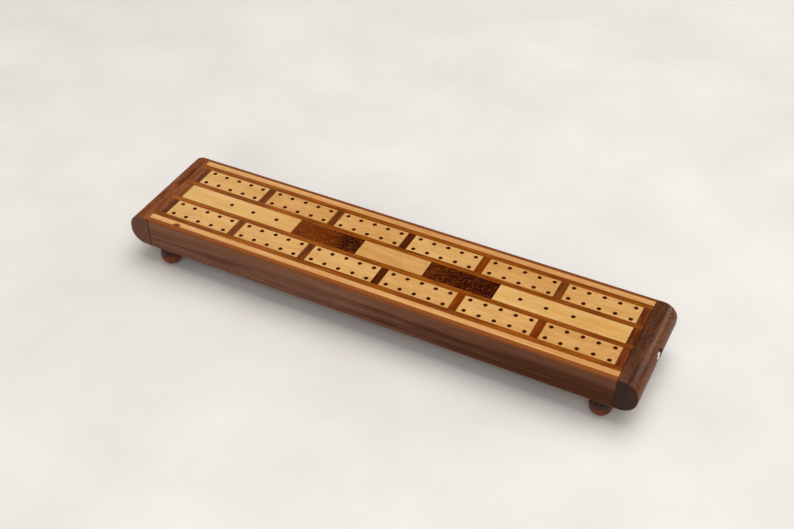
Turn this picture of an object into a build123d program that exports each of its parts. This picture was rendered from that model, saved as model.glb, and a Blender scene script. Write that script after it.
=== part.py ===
from build123d import *
from math import sin, sqrt
import os

# A long, low cribbage box on four ball feet. Its top is a glued-up field of light tiles and
# brown strips, its left end is fixed and rounded, and its right end is the front of a drawer.
# Millimetres. X runs along the box towards the drawer front, Y to the back, Z up from the floor.

# Case
box_length = 255.0  # over both rounded ends
box_width = 55.0  # over both rails
case_height = 16.5  # without the feet
left_end_depth = 10.75  # seam to the outermost point of the rounded end
right_end_depth = 10.0
end_flat = 1.9  # upright flat left between the two roundings of an end
edge_round = 0.5  # long edges of the rails, and the ends' outlines
rail_thickness = 8.0
rail_lip = 1.95  # thin wall of the rail that shows beside the light edge strip
inlay_thickness = 4.5
core_thickness = 1.5
core_rebate = 1.0  # how far the core board sits in each rail
bottom_thickness = 1.6
bottom_setback = 0.4  # bottom board above the rails' lower edge
bottom_groove = 1.0  # how far the bottom board sits in each rail
tongue_length = 12.0  # of the fixed end, between the rails

# Inlay, from the lip inwards
edge_strip_width = 3.15
outer_strip_width = 2.75
inner_strip_width = 2.8
centre_width = 10.9
tile_gap = 3.82  # length of a cross piece
left_margin = 5.5  # seam to the first tile of a row
centre_left_margin = 4.6  # seam to the centre strip's first light piece
left_band = 3.1  # the lighter part of both margins, beside the seam
right_margin = 3.7
tiles_per_row = 6
centre_piece = 34.25  # length of each of the three plain pieces of the centre strip
centre_shift = 0.85  # the middle one's own middle, right of the box's

# Peg holes
hole_radius = 1.0
hole_columns = 5
hole_end_margin = 2.9  # tile's end to its first holes
hole_side_margin = 1.85  # tile's side to its holes
drill_wander = 0.22  # the holes are drilled by hand, and none is quite on its mark
game_hole_start = 11.2  # dark piece to the first game hole
game_hole_pitch = 12.5
game_holes = 3

# Feet
ball_radius = 5.25
ball_flat = 0.25  # what is cut off the ball, for it to stand
neck_radius = 4.5
neck_length = 0.6
collar_radius = 5.3
collar_flare = 1.4  # height over which the neck widens into the collar
collar_height = 0.8  # of the collar's upright edge
tenon_radius = 1.5
tenon_length = 5.0
tenon_wall = 0.2  # wood between the tenon and the groove
left_foot_setback = 7.25  # foot's centre to the left seam
right_foot_setback = 6.1
glue_gap = 0.05  # round every tenon and the pull's shank

# Drawer
front_gap = 0.15  # between the case and the closed drawer front
side_gap = 0.35
floor_gap = 0.25
roof_gap = 0.35
rear_gap = 1.0  # drawer back to the fixed end's tongue
drawer_side_thickness = 2.0
drawer_back_thickness = 2.0
drawer_bottom_thickness = 1.2
drawer_bottom_setback = 0.4
drawer_bottom_groove = 0.8
side_tenon = 3.0  # drawer sides in the drawer front
bottom_tongue = 1.5  # drawer bottom in the drawer front

# Pull: a small metal knob in a dished recess, a little behind the middle of the end
pull_offset = 2.0
recess_radius = 4.3
recess_depth = 2.6
pull_head_radius = 2.0
pull_head_thickness = 1.2
pull_head_round = 0.35
pull_inset = 0.2  # its face behind the outermost point of the end
pull_shank_radius = 0.9
pull_shank_length = 4.5  # in the wood

# Pegs, lying in the drawer with their heads to its front
peg_length = 26.0
peg_point_radius = 0.6
peg_point_length = 0.5
peg_tip_radius = 0.85
peg_body_radius = 1.2
peg_neck_length = 1.2
peg_neck_radius = 0.8
peg_head_radius = 1.45
peg_head_length = 3.4
peg_clearance = 0.1  # a peg's head over the drawer bottom
peg_spacing = 6.5
peg_front_gap = 10.0  # heads to the drawer front
peg_stagger = 4.0  # every second peg lies this much further back

# Levels and places that follow from the sizes above
half_length = box_length / 2
half_width = box_width / 2
left_seam = left_end_depth - half_length
right_seam = half_length - right_end_depth
both_seams = (left_seam, right_seam)
end_radius = (case_height - end_flat) / 2

ball_centre = ball_radius - ball_flat
flat_radius = sqrt(ball_radius**2 - ball_centre**2)
neck_base = ball_centre + sqrt(ball_radius**2 - neck_radius**2)
flare_base = neck_base + neck_length
collar_base = flare_base + collar_flare
case_floor = collar_base + collar_height

case_top = case_floor + case_height
case_middle = case_floor + case_height / 2
inlay_base = case_top - inlay_thickness
core_base = inlay_base - core_thickness
bottom_base = case_floor + bottom_setback
cavity_floor = bottom_base + bottom_thickness
cavity_half = half_width - rail_thickness
core_half = cavity_half + core_rebate
bottom_half = cavity_half + bottom_groove
foot_y = bottom_half + tenon_wall + tenon_radius

strip_edge = half_width - rail_lip - edge_strip_width
row_outer = strip_edge - outer_strip_width
centre_half = centre_width / 2
row_inner = centre_half + inner_strip_width
tile_width = row_outer - row_inner
row_start = left_seam + left_margin
row_end = right_seam - right_margin
tile_pitch = (row_end - row_start + tile_gap) / tiles_per_row
tile_length = tile_pitch - tile_gap
hole_pitch = (tile_length - 2 * hole_end_margin) / (hole_columns - 1)
light_band_end = left_seam + left_band
centre_start = left_seam + centre_left_margin
light_start = centre_shift - centre_piece / 2
light_end = centre_shift + centre_piece / 2
dark_start = light_start - centre_piece
dark_end = light_end + centre_piece

drawer_front_x = right_seam + front_gap
drawer_rear_x = left_seam + tongue_length + rear_gap
drawer_half = cavity_half - side_gap
drawer_inside_half = drawer_half - drawer_side_thickness
drawer_floor = cavity_floor + floor_gap
drawer_top = core_base - roof_gap
drawer_bottom_base = drawer_floor + drawer_bottom_setback
drawer_bottom_top = drawer_bottom_base + drawer_bottom_thickness
drawer_bottom_half = drawer_inside_half + drawer_bottom_groove
drawer_middle = (drawer_floor + drawer_top) / 2
drawer_bottom_middle = (drawer_bottom_base + drawer_bottom_top) / 2
drawer_side_middle = (drawer_inside_half + drawer_half) / 2
drawer_groove_middle = (drawer_inside_half + drawer_bottom_half) / 2

os.makedirs("parts", exist_ok=True)


def save(piece, name):
    """Label a finished piece and write it."""
    piece.part.label = name
    export_step(piece.part, f"parts/{name}.step")


def bar(name, x_ends, y_ends, z_ends, holes=()):
    """A straight piece of wood between six planes, drilled through at each point of holes."""
    with BuildPart() as piece:
        with BuildSketch(Plane.XY.offset(z_ends[0])):
            with Locations((sum(x_ends) / 2, sum(y_ends) / 2)):
                Rectangle(x_ends[1] - x_ends[0], y_ends[1] - y_ends[0])
        extrude(amount=z_ends[1] - z_ends[0])
        if holes:
            with Locations([(x, y, z_ends[1]) for x, y in holes]):
                Hole(hole_radius)
    save(piece, name)


def inlay(name, x_ends, y_ends, holes=()):
    """A bar of the inlay's thickness, flush with the top."""
    bar(name, x_ends, y_ends, (inlay_base, case_top), holes)


def drilled(x, y):
    """Where the hand drill really lands for a hole that is marked at x, y."""
    return x + drill_wander * sin(1.7 * x + 0.9 * y), y + drill_wander * sin(2.3 * x - 1.1 * y)


# Rails: each has the lip outside, a rebate for the core board and a groove for the bottom board
def rail(name, side):
    with BuildPart() as piece:
        with BuildSketch(Plane.YZ.offset(left_seam)) as section:
            with BuildLine():
                Polyline(
                    (side * cavity_half, case_floor),
                    (side * half_width, case_floor),
                    (side * half_width, case_top),
                    (side * (half_width - rail_lip), case_top),
                    (side * (half_width - rail_lip), inlay_base),
                    (side * core_half, inlay_base),
                    (side * core_half, core_base),
                    (side * cavity_half, core_base),
                    close=True,
                )
            make_face()
            fillet(section.vertices().sort_by(lambda corner: abs(corner.X))[-2:], edge_round)
            with Locations((side * (cavity_half + bottom_half) / 2, (bottom_base + cavity_floor) / 2)):
                Rectangle(bottom_groove, bottom_thickness, mode=Mode.SUBTRACT)
        extrude(amount=right_seam - left_seam)
        with Locations(
            (left_seam + left_foot_setback, side * foot_y, case_floor),
            (right_seam - right_foot_setback, side * foot_y, case_floor),
        ):
            Cylinder(
                tenon_radius + glue_gap,
                tenon_length + glue_gap,
                align=(Align.CENTER, Align.CENTER, Align.MIN),
                mode=Mode.SUBTRACT,
            )
    save(piece, name)


rail("front_rail", -1)
rail("back_rail", 1)
bar("core_board", both_seams, (-core_half, core_half), (core_base, inlay_base))
bar("bottom_board", both_seams, (-bottom_half, bottom_half), (bottom_base, cavity_floor))


# Rounded ends: both are one bullnose, and each carries what its own end of the box needs
def bullnose_profile(side, start):
    """The side view of a rounded block from start to the end of the box, on side -1 or 1."""
    with BuildSketch(Plane.XZ.offset(half_width)) as profile:
        with Locations((side * (start + half_length) / 2, case_middle)):
            Rectangle(half_length - start, case_height)
        fillet(profile.vertices().sort_by(lambda corner: abs(corner.X))[-2:], end_radius)
    return profile.sketch


def outline_edges(piece):
    """The edges round both end-grain faces of a bullnose, without the two at the seam."""
    edges = piece.faces().filter_by(Axis.Y).edges()
    return edges.sort_by(lambda edge: abs(edge.center().X))[2:]


with BuildPart() as left_end_block:
    extrude(bullnose_profile(-1, -left_seam), amount=-box_width)
    fillet(outline_edges(left_end_block), edge_round)
    with BuildSketch(Plane.YZ.offset(left_seam)):
        with Locations((0, (cavity_floor + core_base) / 2)):
            Rectangle(2 * cavity_half, core_base - cavity_floor)
    extrude(amount=tongue_length)
save(left_end_block, "left_end_block")

with BuildPart() as drawer_front:
    extrude(bullnose_profile(1, drawer_front_x), amount=-box_width)
    fillet(outline_edges(drawer_front), edge_round)
    sphere_radius = (recess_radius**2 + recess_depth**2) / (2 * recess_depth)
    with Locations((half_length - recess_depth + sphere_radius, pull_offset, case_middle)):
        Sphere(sphere_radius, mode=Mode.SUBTRACT)
    with BuildSketch(Plane.YZ.offset(half_length)):
        with Locations((pull_offset, case_middle)):
            Circle(pull_shank_radius + glue_gap)
    extrude(amount=-(recess_depth + pull_shank_length + glue_gap), mode=Mode.SUBTRACT)
    with BuildSketch(Plane.YZ.offset(drawer_front_x)):
        with Locations((-drawer_side_middle, drawer_middle), (drawer_side_middle, drawer_middle)):
            Rectangle(drawer_side_thickness, drawer_top - drawer_floor)
    extrude(amount=side_tenon, mode=Mode.SUBTRACT)
    with BuildSketch(Plane.YZ.offset(drawer_front_x)):
        with Locations((0, drawer_bottom_middle)):
            Rectangle(2 * drawer_bottom_half, drawer_bottom_thickness)
    extrude(amount=bottom_tongue, mode=Mode.SUBTRACT)
save(drawer_front, "drawer_front")

with BuildPart() as drawer_pull:
    with BuildSketch(Plane.YZ.offset(half_length - pull_inset)):
        with Locations((pull_offset, case_middle)):
            Circle(pull_head_radius)
    extrude(amount=-pull_head_thickness)
    fillet(drawer_pull.edges().filter_by(GeomType.CIRCLE), pull_head_round)
    with BuildSketch(Plane.YZ.offset(half_length - recess_depth - pull_shank_length)):
        with Locations((pull_offset, case_middle)):
            Circle(pull_shank_radius)
    extrude(amount=recess_depth + pull_shank_length - pull_inset - pull_head_thickness)
save(drawer_pull, "drawer_pull")


# Drawer box: sides grooved for the bottom, which also runs under the back
def drawer_side(name, side):
    with BuildPart() as piece:
        with BuildSketch(Plane.YZ.offset(drawer_rear_x)):
            with Locations((side * drawer_side_middle, drawer_middle)):
                Rectangle(drawer_side_thickness, drawer_top - drawer_floor)
            with Locations((side * drawer_groove_middle, drawer_bottom_middle)):
                Rectangle(drawer_bottom_groove, drawer_bottom_thickness, mode=Mode.SUBTRACT)
        extrude(amount=drawer_front_x + side_tenon - drawer_rear_x)
    save(piece, name)


drawer_side("drawer_side_front", -1)
drawer_side("drawer_side_back", 1)
bar(
    "drawer_back",
    (drawer_rear_x, drawer_rear_x + drawer_back_thickness),
    (-drawer_inside_half, drawer_inside_half),
    (drawer_bottom_top, drawer_top),
)
bar(
    "drawer_bottom",
    (drawer_rear_x, drawer_front_x + bottom_tongue),
    (-drawer_bottom_half, drawer_bottom_half),
    (drawer_bottom_base, drawer_bottom_top),
)

# Inlay: long strips first, then the two rows of tiles with their cross pieces, then the centre
row_bands = {"front": (-row_outer, -row_inner), "back": (row_inner, row_outer)}
for place, side in (("front", -1), ("back", 1)):
    edge_band = sorted((side * strip_edge, side * (strip_edge + edge_strip_width)))
    outer_band = sorted((side * row_outer, side * strip_edge))
    inner_band = sorted((side * centre_half, side * row_inner))
    inlay(f"edge_strip_{place}", both_seams, edge_band)
    inlay(f"brown_strip_{place}_outer", both_seams, outer_band)
    inlay(f"brown_strip_{place}_inner", both_seams, inner_band)

    row_middle_y = sum(row_bands[place]) / 2
    row_half = tile_width / 2 - hole_side_margin
    for number in range(tiles_per_row):
        tile_start = row_start + number * tile_pitch
        tile_end = tile_start + tile_length
        first_column = tile_start + hole_end_margin
        marks = [
            (first_column + column * hole_pitch, row_middle_y + offset)
            for column in range(hole_columns)
            for offset in (-row_half, row_half)
        ]
        holes = [drilled(x, y) for x, y in marks]
        inlay(f"tile_{place}_{number + 1}", (tile_start, tile_end), row_bands[place], holes)
        if number + 1 < tiles_per_row:
            inlay(f"cross_{place}_{number + 1}", (tile_end, tile_end + tile_gap), row_bands[place])

centre_band = (-centre_half, centre_half)
for place, band, start in (
    ("front", row_bands["front"], row_start),
    ("back", row_bands["back"], row_start),
    ("centre", centre_band, centre_start),
):
    inlay(f"left_end_light_{place}", (left_seam, light_band_end), band)
    inlay(f"left_end_dark_{place}", (light_band_end, start), band)
    inlay(f"right_end_{place}", (row_end, right_seam), band)

# The centre strip: three plain pieces, and a drilled light one at each side of them
left_marks = [dark_start - game_hole_start - number * game_hole_pitch for number in range(game_holes)]
right_marks = [dark_end + game_hole_start + number * game_hole_pitch for number in range(game_holes)]
inlay("centre_light_left", (centre_start, dark_start), centre_band, [drilled(x, 0) for x in left_marks])
inlay("centre_dark_left", (dark_start, light_start), centre_band)
inlay("centre_light_middle", (light_start, light_end), centre_band)
inlay("centre_dark_right", (light_end, dark_end), centre_band)
inlay("centre_light_right", (dark_end, row_end), centre_band, [drilled(x, 0) for x in right_marks])


# Feet: a ball, cut flat to stand on, then a stout neck that widens into a collar, and the tenon
# that is glued into a rail
def foot(name, x, y):
    with BuildPart() as piece:
        with BuildSketch(Plane.XZ) as profile:
            with BuildLine():
                Line((0, 0), (flat_radius, 0))
                ThreePointArc((flat_radius, 0), (ball_radius, ball_centre), (neck_radius, neck_base))
                Polyline(
                    (neck_radius, neck_base),
                    (neck_radius, flare_base),
                    (collar_radius, collar_base),
                    (collar_radius, case_floor),
                    (tenon_radius, case_floor),
                    (tenon_radius, case_floor + tenon_length),
                    (0, case_floor + tenon_length),
                    (0, 0),
                )
            make_face()
        revolve(axis=Axis.Z)
    with BuildPart() as placed:
        with Locations((x, y, 0)):
            add(piece.part)
    save(placed, name)


for end, x in (("left", left_seam + left_foot_setback), ("right", right_seam - right_foot_setback)):
    foot(f"foot_{end}_front", x, -foot_y)
    foot(f"foot_{end}_back", x, foot_y)

# Pegs: a tapered shaft, a turned neck and a rounded head, all along X
with BuildPart() as peg:
    with BuildSketch(Plane.XZ):
        head_start = peg_length - peg_head_length
        with BuildLine():
            Polyline(
                (0, 0),
                (0, peg_point_radius),
                (peg_point_length, peg_tip_radius),
                (head_start - peg_neck_length, peg_body_radius),
                (head_start, peg_neck_radius),
            )
            ThreePointArc(
                (head_start, peg_neck_radius),
                (head_start + peg_head_length / 2, peg_head_radius),
                (peg_length, peg_neck_radius),
            )
            Polyline((peg_length, peg_neck_radius), (peg_length, 0), (0, 0))
        make_face()
    revolve(axis=Axis.X)

peg_start = drawer_front_x - peg_front_gap - peg_length
peg_axis = drawer_bottom_top + peg_clearance + peg_head_radius
for name, numbers in (("pegs_light", (0, 1)), ("pegs_dark", (2, 3))):
    with BuildPart() as pair:
        for number in numbers:
            x = peg_start - peg_stagger * (number % 2)
            with Locations((x, peg_spacing * (number - 1.5), peg_axis)):
                add(peg.part)
    save(pair, name)
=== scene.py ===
"""The looks of a cribbage box with a drawer, built round its packed frame.

Metres, in the frame's axes: X runs along the box to the drawer front, Y to the back, Z up from the
floor. Small sizes are written in millimetres and multiplied by MM where they meet the frame's own.
"""

import logging
import math
from collections.abc import Callable, Sequence
from dataclasses import dataclass, field, replace
from enum import Enum

import bmesh
import bpy
import numpy as np
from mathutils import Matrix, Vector


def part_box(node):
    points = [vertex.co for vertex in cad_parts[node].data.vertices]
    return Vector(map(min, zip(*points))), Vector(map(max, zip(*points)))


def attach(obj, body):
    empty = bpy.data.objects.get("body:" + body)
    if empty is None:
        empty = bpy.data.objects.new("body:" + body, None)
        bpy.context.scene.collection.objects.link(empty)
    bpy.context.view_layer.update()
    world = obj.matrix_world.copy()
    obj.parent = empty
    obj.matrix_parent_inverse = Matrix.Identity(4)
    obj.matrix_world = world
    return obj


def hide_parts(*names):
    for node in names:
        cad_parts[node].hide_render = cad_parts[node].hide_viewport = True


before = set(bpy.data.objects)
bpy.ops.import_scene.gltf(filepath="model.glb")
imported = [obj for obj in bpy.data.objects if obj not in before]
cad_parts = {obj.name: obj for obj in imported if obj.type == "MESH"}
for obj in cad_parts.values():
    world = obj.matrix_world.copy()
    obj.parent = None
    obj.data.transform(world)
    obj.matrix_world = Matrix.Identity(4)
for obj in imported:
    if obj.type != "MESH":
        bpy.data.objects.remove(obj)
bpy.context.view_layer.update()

MM = 0.001
MERGE_DISTANCE = 0.0005 * MM
SHARP_ANGLE = math.radians(40)
SEED_STRIDES = (7.31, 3.17, 5.93)  # how far one seed moves a pattern, in its own periods
SWAY_WIDTH = 12.0  # period across the grain of a tree's bends, in periods of its figure
VEIN_WIDTH = 0.55  # period of the veins across the grain, in periods of the figure
VEIN_REACH = 1.4  # the same along the grain
ROWS = ("front", "back")
ENDS = ("left", "right")
TILES_PER_ROW = 6

log = logging.getLogger("cribbage_box")

Colour = tuple[float, float, float, float]


def rgb(red: int, green: int, blue: int) -> Colour:
    """Turn a colour as a screen shows it into the linear one that a shader takes.

    Args:
        red, green, blue: The screen's values, 0 to 255.

    Returns:
        Linear red, green and blue, with an alpha of 1.
    """
    screen = np.array([red, green, blue]) / 255
    linear = np.where(screen <= 0.04045, screen / 12.92, ((screen + 0.055) / 1.055) ** 2.4)
    return (*map(float, linear), 1.0)


class Grain(Enum):
    """The axis that a piece's grain follows."""

    ALONG = 0
    ACROSS = 1
    UPRIGHT = 2


# ---------------------------------------------------------------------------------------------
# Shader maths
# ---------------------------------------------------------------------------------------------


class Wire:
    """A shader socket that can be added, multiplied and so on, each time through a Math node."""

    def __init__(self, graph: "Graph", socket: bpy.types.NodeSocket) -> None:
        """Keep the socket and the graph that it belongs to."""
        self.graph = graph
        self.socket = socket

    def __add__(self, other: "Wire | float") -> "Wire":
        """Sum."""
        return self.graph.math("ADD", self, other)

    def __radd__(self, other: float) -> "Wire":
        """Sum with a number in front."""
        return self.graph.math("ADD", other, self)

    def __sub__(self, other: "Wire | float") -> "Wire":
        """Difference."""
        return self.graph.math("SUBTRACT", self, other)

    def __rsub__(self, other: float) -> "Wire":
        """Difference from a number."""
        return self.graph.math("SUBTRACT", other, self)

    def __mul__(self, other: "Wire | float") -> "Wire":
        """Product."""
        return self.graph.math("MULTIPLY", self, other)

    def __rmul__(self, other: float) -> "Wire":
        """Product with a number in front."""
        return self.graph.math("MULTIPLY", other, self)

    def __truediv__(self, other: "Wire | float") -> "Wire":
        """Quotient."""
        return self.graph.math("DIVIDE", self, other)

    def __pow__(self, power: float) -> "Wire":
        """Power."""
        return self.graph.math("POWER", self, power)

    def __abs__(self) -> "Wire":
        """Size without its sign."""
        return self.graph.math("ABSOLUTE", self)

    def lowest(self, other: "Wire | float") -> "Wire":
        """The smaller of the two."""
        return self.graph.math("MINIMUM", self, other)

    def wave(self) -> "Wire":
        """Sine."""
        return self.graph.math("SINE", self)


class Graph:
    """A material's node tree, with the few kinds of node that these finishes need."""

    def __init__(self, name: str) -> None:
        """Start an empty material of that name."""
        self.material = bpy.data.materials.new(name)
        self.material.use_nodes = True
        self.tree = self.material.node_tree
        self.tree.nodes.clear()

    def node(self, kind: str, settings: dict | None = None, inputs: dict | None = None) -> bpy.types.Node:
        """Add any node.

        Args:
            kind: The node's type, as "ShaderNodeMath".
            settings: Its properties, set first. "stops" holds a ramp's (position, colour) pairs.
            inputs: Value or Wire of each socket, by the socket's name or number.

        Returns:
            The node.
        """
        made = self.tree.nodes.new(kind)
        for key, value in (settings or {}).items():
            if key == "stops":
                self._set_stops(made.color_ramp, value)
            else:
                setattr(made, key, value)
        for key, value in (inputs or {}).items():
            if isinstance(value, Wire):
                self.tree.links.new(value.socket, made.inputs[key])
            else:
                made.inputs[key].default_value = value
        return made

    @staticmethod
    def _set_stops(ramp: bpy.types.ColorRamp, stops: Sequence[tuple[float, Colour]]) -> None:
        """Give a ramp its stops, which run from low to high."""
        while len(ramp.elements) < len(stops):
            ramp.elements.new(1.0)
        for element, (position, colour) in zip(ramp.elements, stops):
            element.position = position
            element.color = colour

    def math(self, operation: str, *terms: "Wire | float") -> Wire:
        """Add a Math node and return its result."""
        made = self.node("ShaderNodeMath", {"operation": operation}, dict(enumerate(terms)))
        return Wire(self, made.outputs[0])

    def place(self) -> Wire:
        """Where a point of the piece lies, in the frame's metres."""
        return Wire(self, self.node("ShaderNodeTexCoord").outputs["Object"])

    def facing(self) -> Wire:
        """The way the surface faces, in the frame's axes."""
        return Wire(self, self.node("ShaderNodeTexCoord").outputs["Normal"])

    def parts(self, vector: Wire) -> tuple[Wire, Wire, Wire]:
        """Split a vector into its three numbers."""
        made = self.node("ShaderNodeSeparateXYZ", inputs={0: vector})
        return tuple(Wire(self, output) for output in made.outputs)

    def vector_sum(self, first: Wire, second: Wire) -> Wire:
        """Add two vectors."""
        made = self.node("ShaderNodeVectorMath", {"operation": "ADD"}, {0: first, 1: second})
        return Wire(self, made.outputs[0])

    def sway(self, place: Wire, size: Vector, reach: float, seed: float) -> Wire:
        """Push a place about by a soft noise, as a tree's own bends push its grain.

        Args:
            place: The point.
            size: Period of the noise in each axis, metres.
            reach: Furthest push, metres.
            seed: Which stretch of the noise.

        Returns:
            The pushed point.
        """
        noise = self.node(
            "ShaderNodeTexNoise", {"noise_dimensions": "3D"},
            {"Vector": self.stretched(place, size, seed), "Scale": 1.0, "Detail": 1.0, "Roughness": 0.5},
        )
        middle = self.node(
            "ShaderNodeVectorMath", {"operation": "SUBTRACT"},
            {0: Wire(self, noise.outputs["Color"]), 1: (0.5, 0.5, 0.5)},
        )
        push = self.node(
            "ShaderNodeVectorMath", {"operation": "SCALE"},
            {0: Wire(self, middle.outputs[0]), "Scale": 2 * reach},
        )
        return self.vector_sum(place, Wire(self, push.outputs[0]))

    def stretched(self, place: Wire, size: Vector, seed: float) -> Wire:
        """Measure a place in lengths of size, and move it to its own stretch of the pattern."""
        made = self.node(
            "ShaderNodeMapping", {"vector_type": "POINT"},
            {
                "Vector": place,
                "Scale": tuple(1 / length for length in size),
                "Location": tuple(seed * stride for stride in SEED_STRIDES),
            },
        )
        return Wire(self, made.outputs[0])

    def noise(self, place: Wire, size: Vector, seed: float, detail: float = 2.0, rough: float = 0.5) -> Wire:
        """Noise of a given size in each axis.

        Args:
            place: The point.
            size: Period in each axis, metres.
            seed: Which stretch of the noise.
            detail: Octaves.
            rough: How much each finer octave counts.

        Returns:
            A number round 0.5.
        """
        made = self.node(
            "ShaderNodeTexNoise", {"noise_dimensions": "3D"},
            {"Vector": self.stretched(place, size, seed), "Scale": 1.0, "Detail": detail, "Roughness": rough},
        )
        return Wire(self, made.outputs["Fac"])

    def step(self, value: Wire, low: float, high: float) -> Wire:
        """Smooth step from 0 at low to 1 at high. Low may be the larger."""
        made = self.node(
            "ShaderNodeMapRange", {"interpolation_type": "SMOOTHSTEP", "clamp": True},
            {"Value": value, "From Min": low, "From Max": high, "To Min": 0.0, "To Max": 1.0},
        )
        return Wire(self, made.outputs["Result"])

    def scale(self, value: Wire, low: float, high: float, start: float, stop: float) -> Wire:
        """Map low to start and high to stop, straight and clamped."""
        made = self.node(
            "ShaderNodeMapRange", {"interpolation_type": "LINEAR", "clamp": True},
            {"Value": value, "From Min": low, "From Max": high, "To Min": start, "To Max": stop},
        )
        return Wire(self, made.outputs["Result"])

    def mix(self, share: Wire | float, first: Wire | Colour, second: Wire | Colour) -> Wire:
        """Mix two colours: share 0 gives the first. A Mix node's colours are its sockets 6 and 7."""
        made = self.node(
            "ShaderNodeMix", {"data_type": "RGBA", "clamp_factor": True}, {0: share, 6: first, 7: second}
        )
        return Wire(self, made.outputs[2])

    def attribute(self, name: str) -> Wire:
        """A number kept on the mesh's points."""
        made = self.node("ShaderNodeAttribute", {"attribute_type": "GEOMETRY", "attribute_name": name})
        return Wire(self, made.outputs["Fac"])

    def bump(self, height: Wire, depth: float, strength: float) -> Wire:
        """Turn a height of 0 to 1 into a normal. Depth is in metres."""
        made = self.node("ShaderNodeBump", inputs={"Height": height, "Distance": depth, "Strength": strength})
        return Wire(self, made.outputs[0])

    def surface(self, inputs: dict) -> bpy.types.Material:
        """End the graph in a Principled shader.

        Args:
            inputs: Value or Wire of each of the shader's sockets.

        Returns:
            The finished material.
        """
        shader = self.node("ShaderNodeBsdfPrincipled", inputs=inputs)
        end = self.node("ShaderNodeOutputMaterial")
        self.tree.links.new(shader.outputs[0], end.inputs["Surface"])
        return self.material


# ---------------------------------------------------------------------------------------------
# Finishes
# ---------------------------------------------------------------------------------------------


@dataclass(frozen=True)
class Cut:
    """How one piece was cut from its wood.

    Attributes:
        low, high: The piece's box, metres.
        grain: The axis that the grain follows.
        seed: Which part of the plank it came from.
        tone: How much deeper than usual it is, at its low X end.
        tone_end: The same at its high X end.
        tone_reach: Where in its length the tone changes, 0 to 1.
        joint: Width of the dark glue line round its top, millimetres, or 0.
        seam: Where in X it is glued end to end to a neighbour, metres, or None.
        bored: Whether its mesh carries the "bore" attribute.
    """

    low: Vector
    high: Vector
    grain: Grain = Grain.ALONG
    seed: float = 0.0
    tone: float = 0.0
    tone_end: float = 0.0
    tone_reach: tuple[float, float] = (0.0, 1.0)
    joint: float = 0.0
    seam: float | None = None
    bored: bool = False


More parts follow.
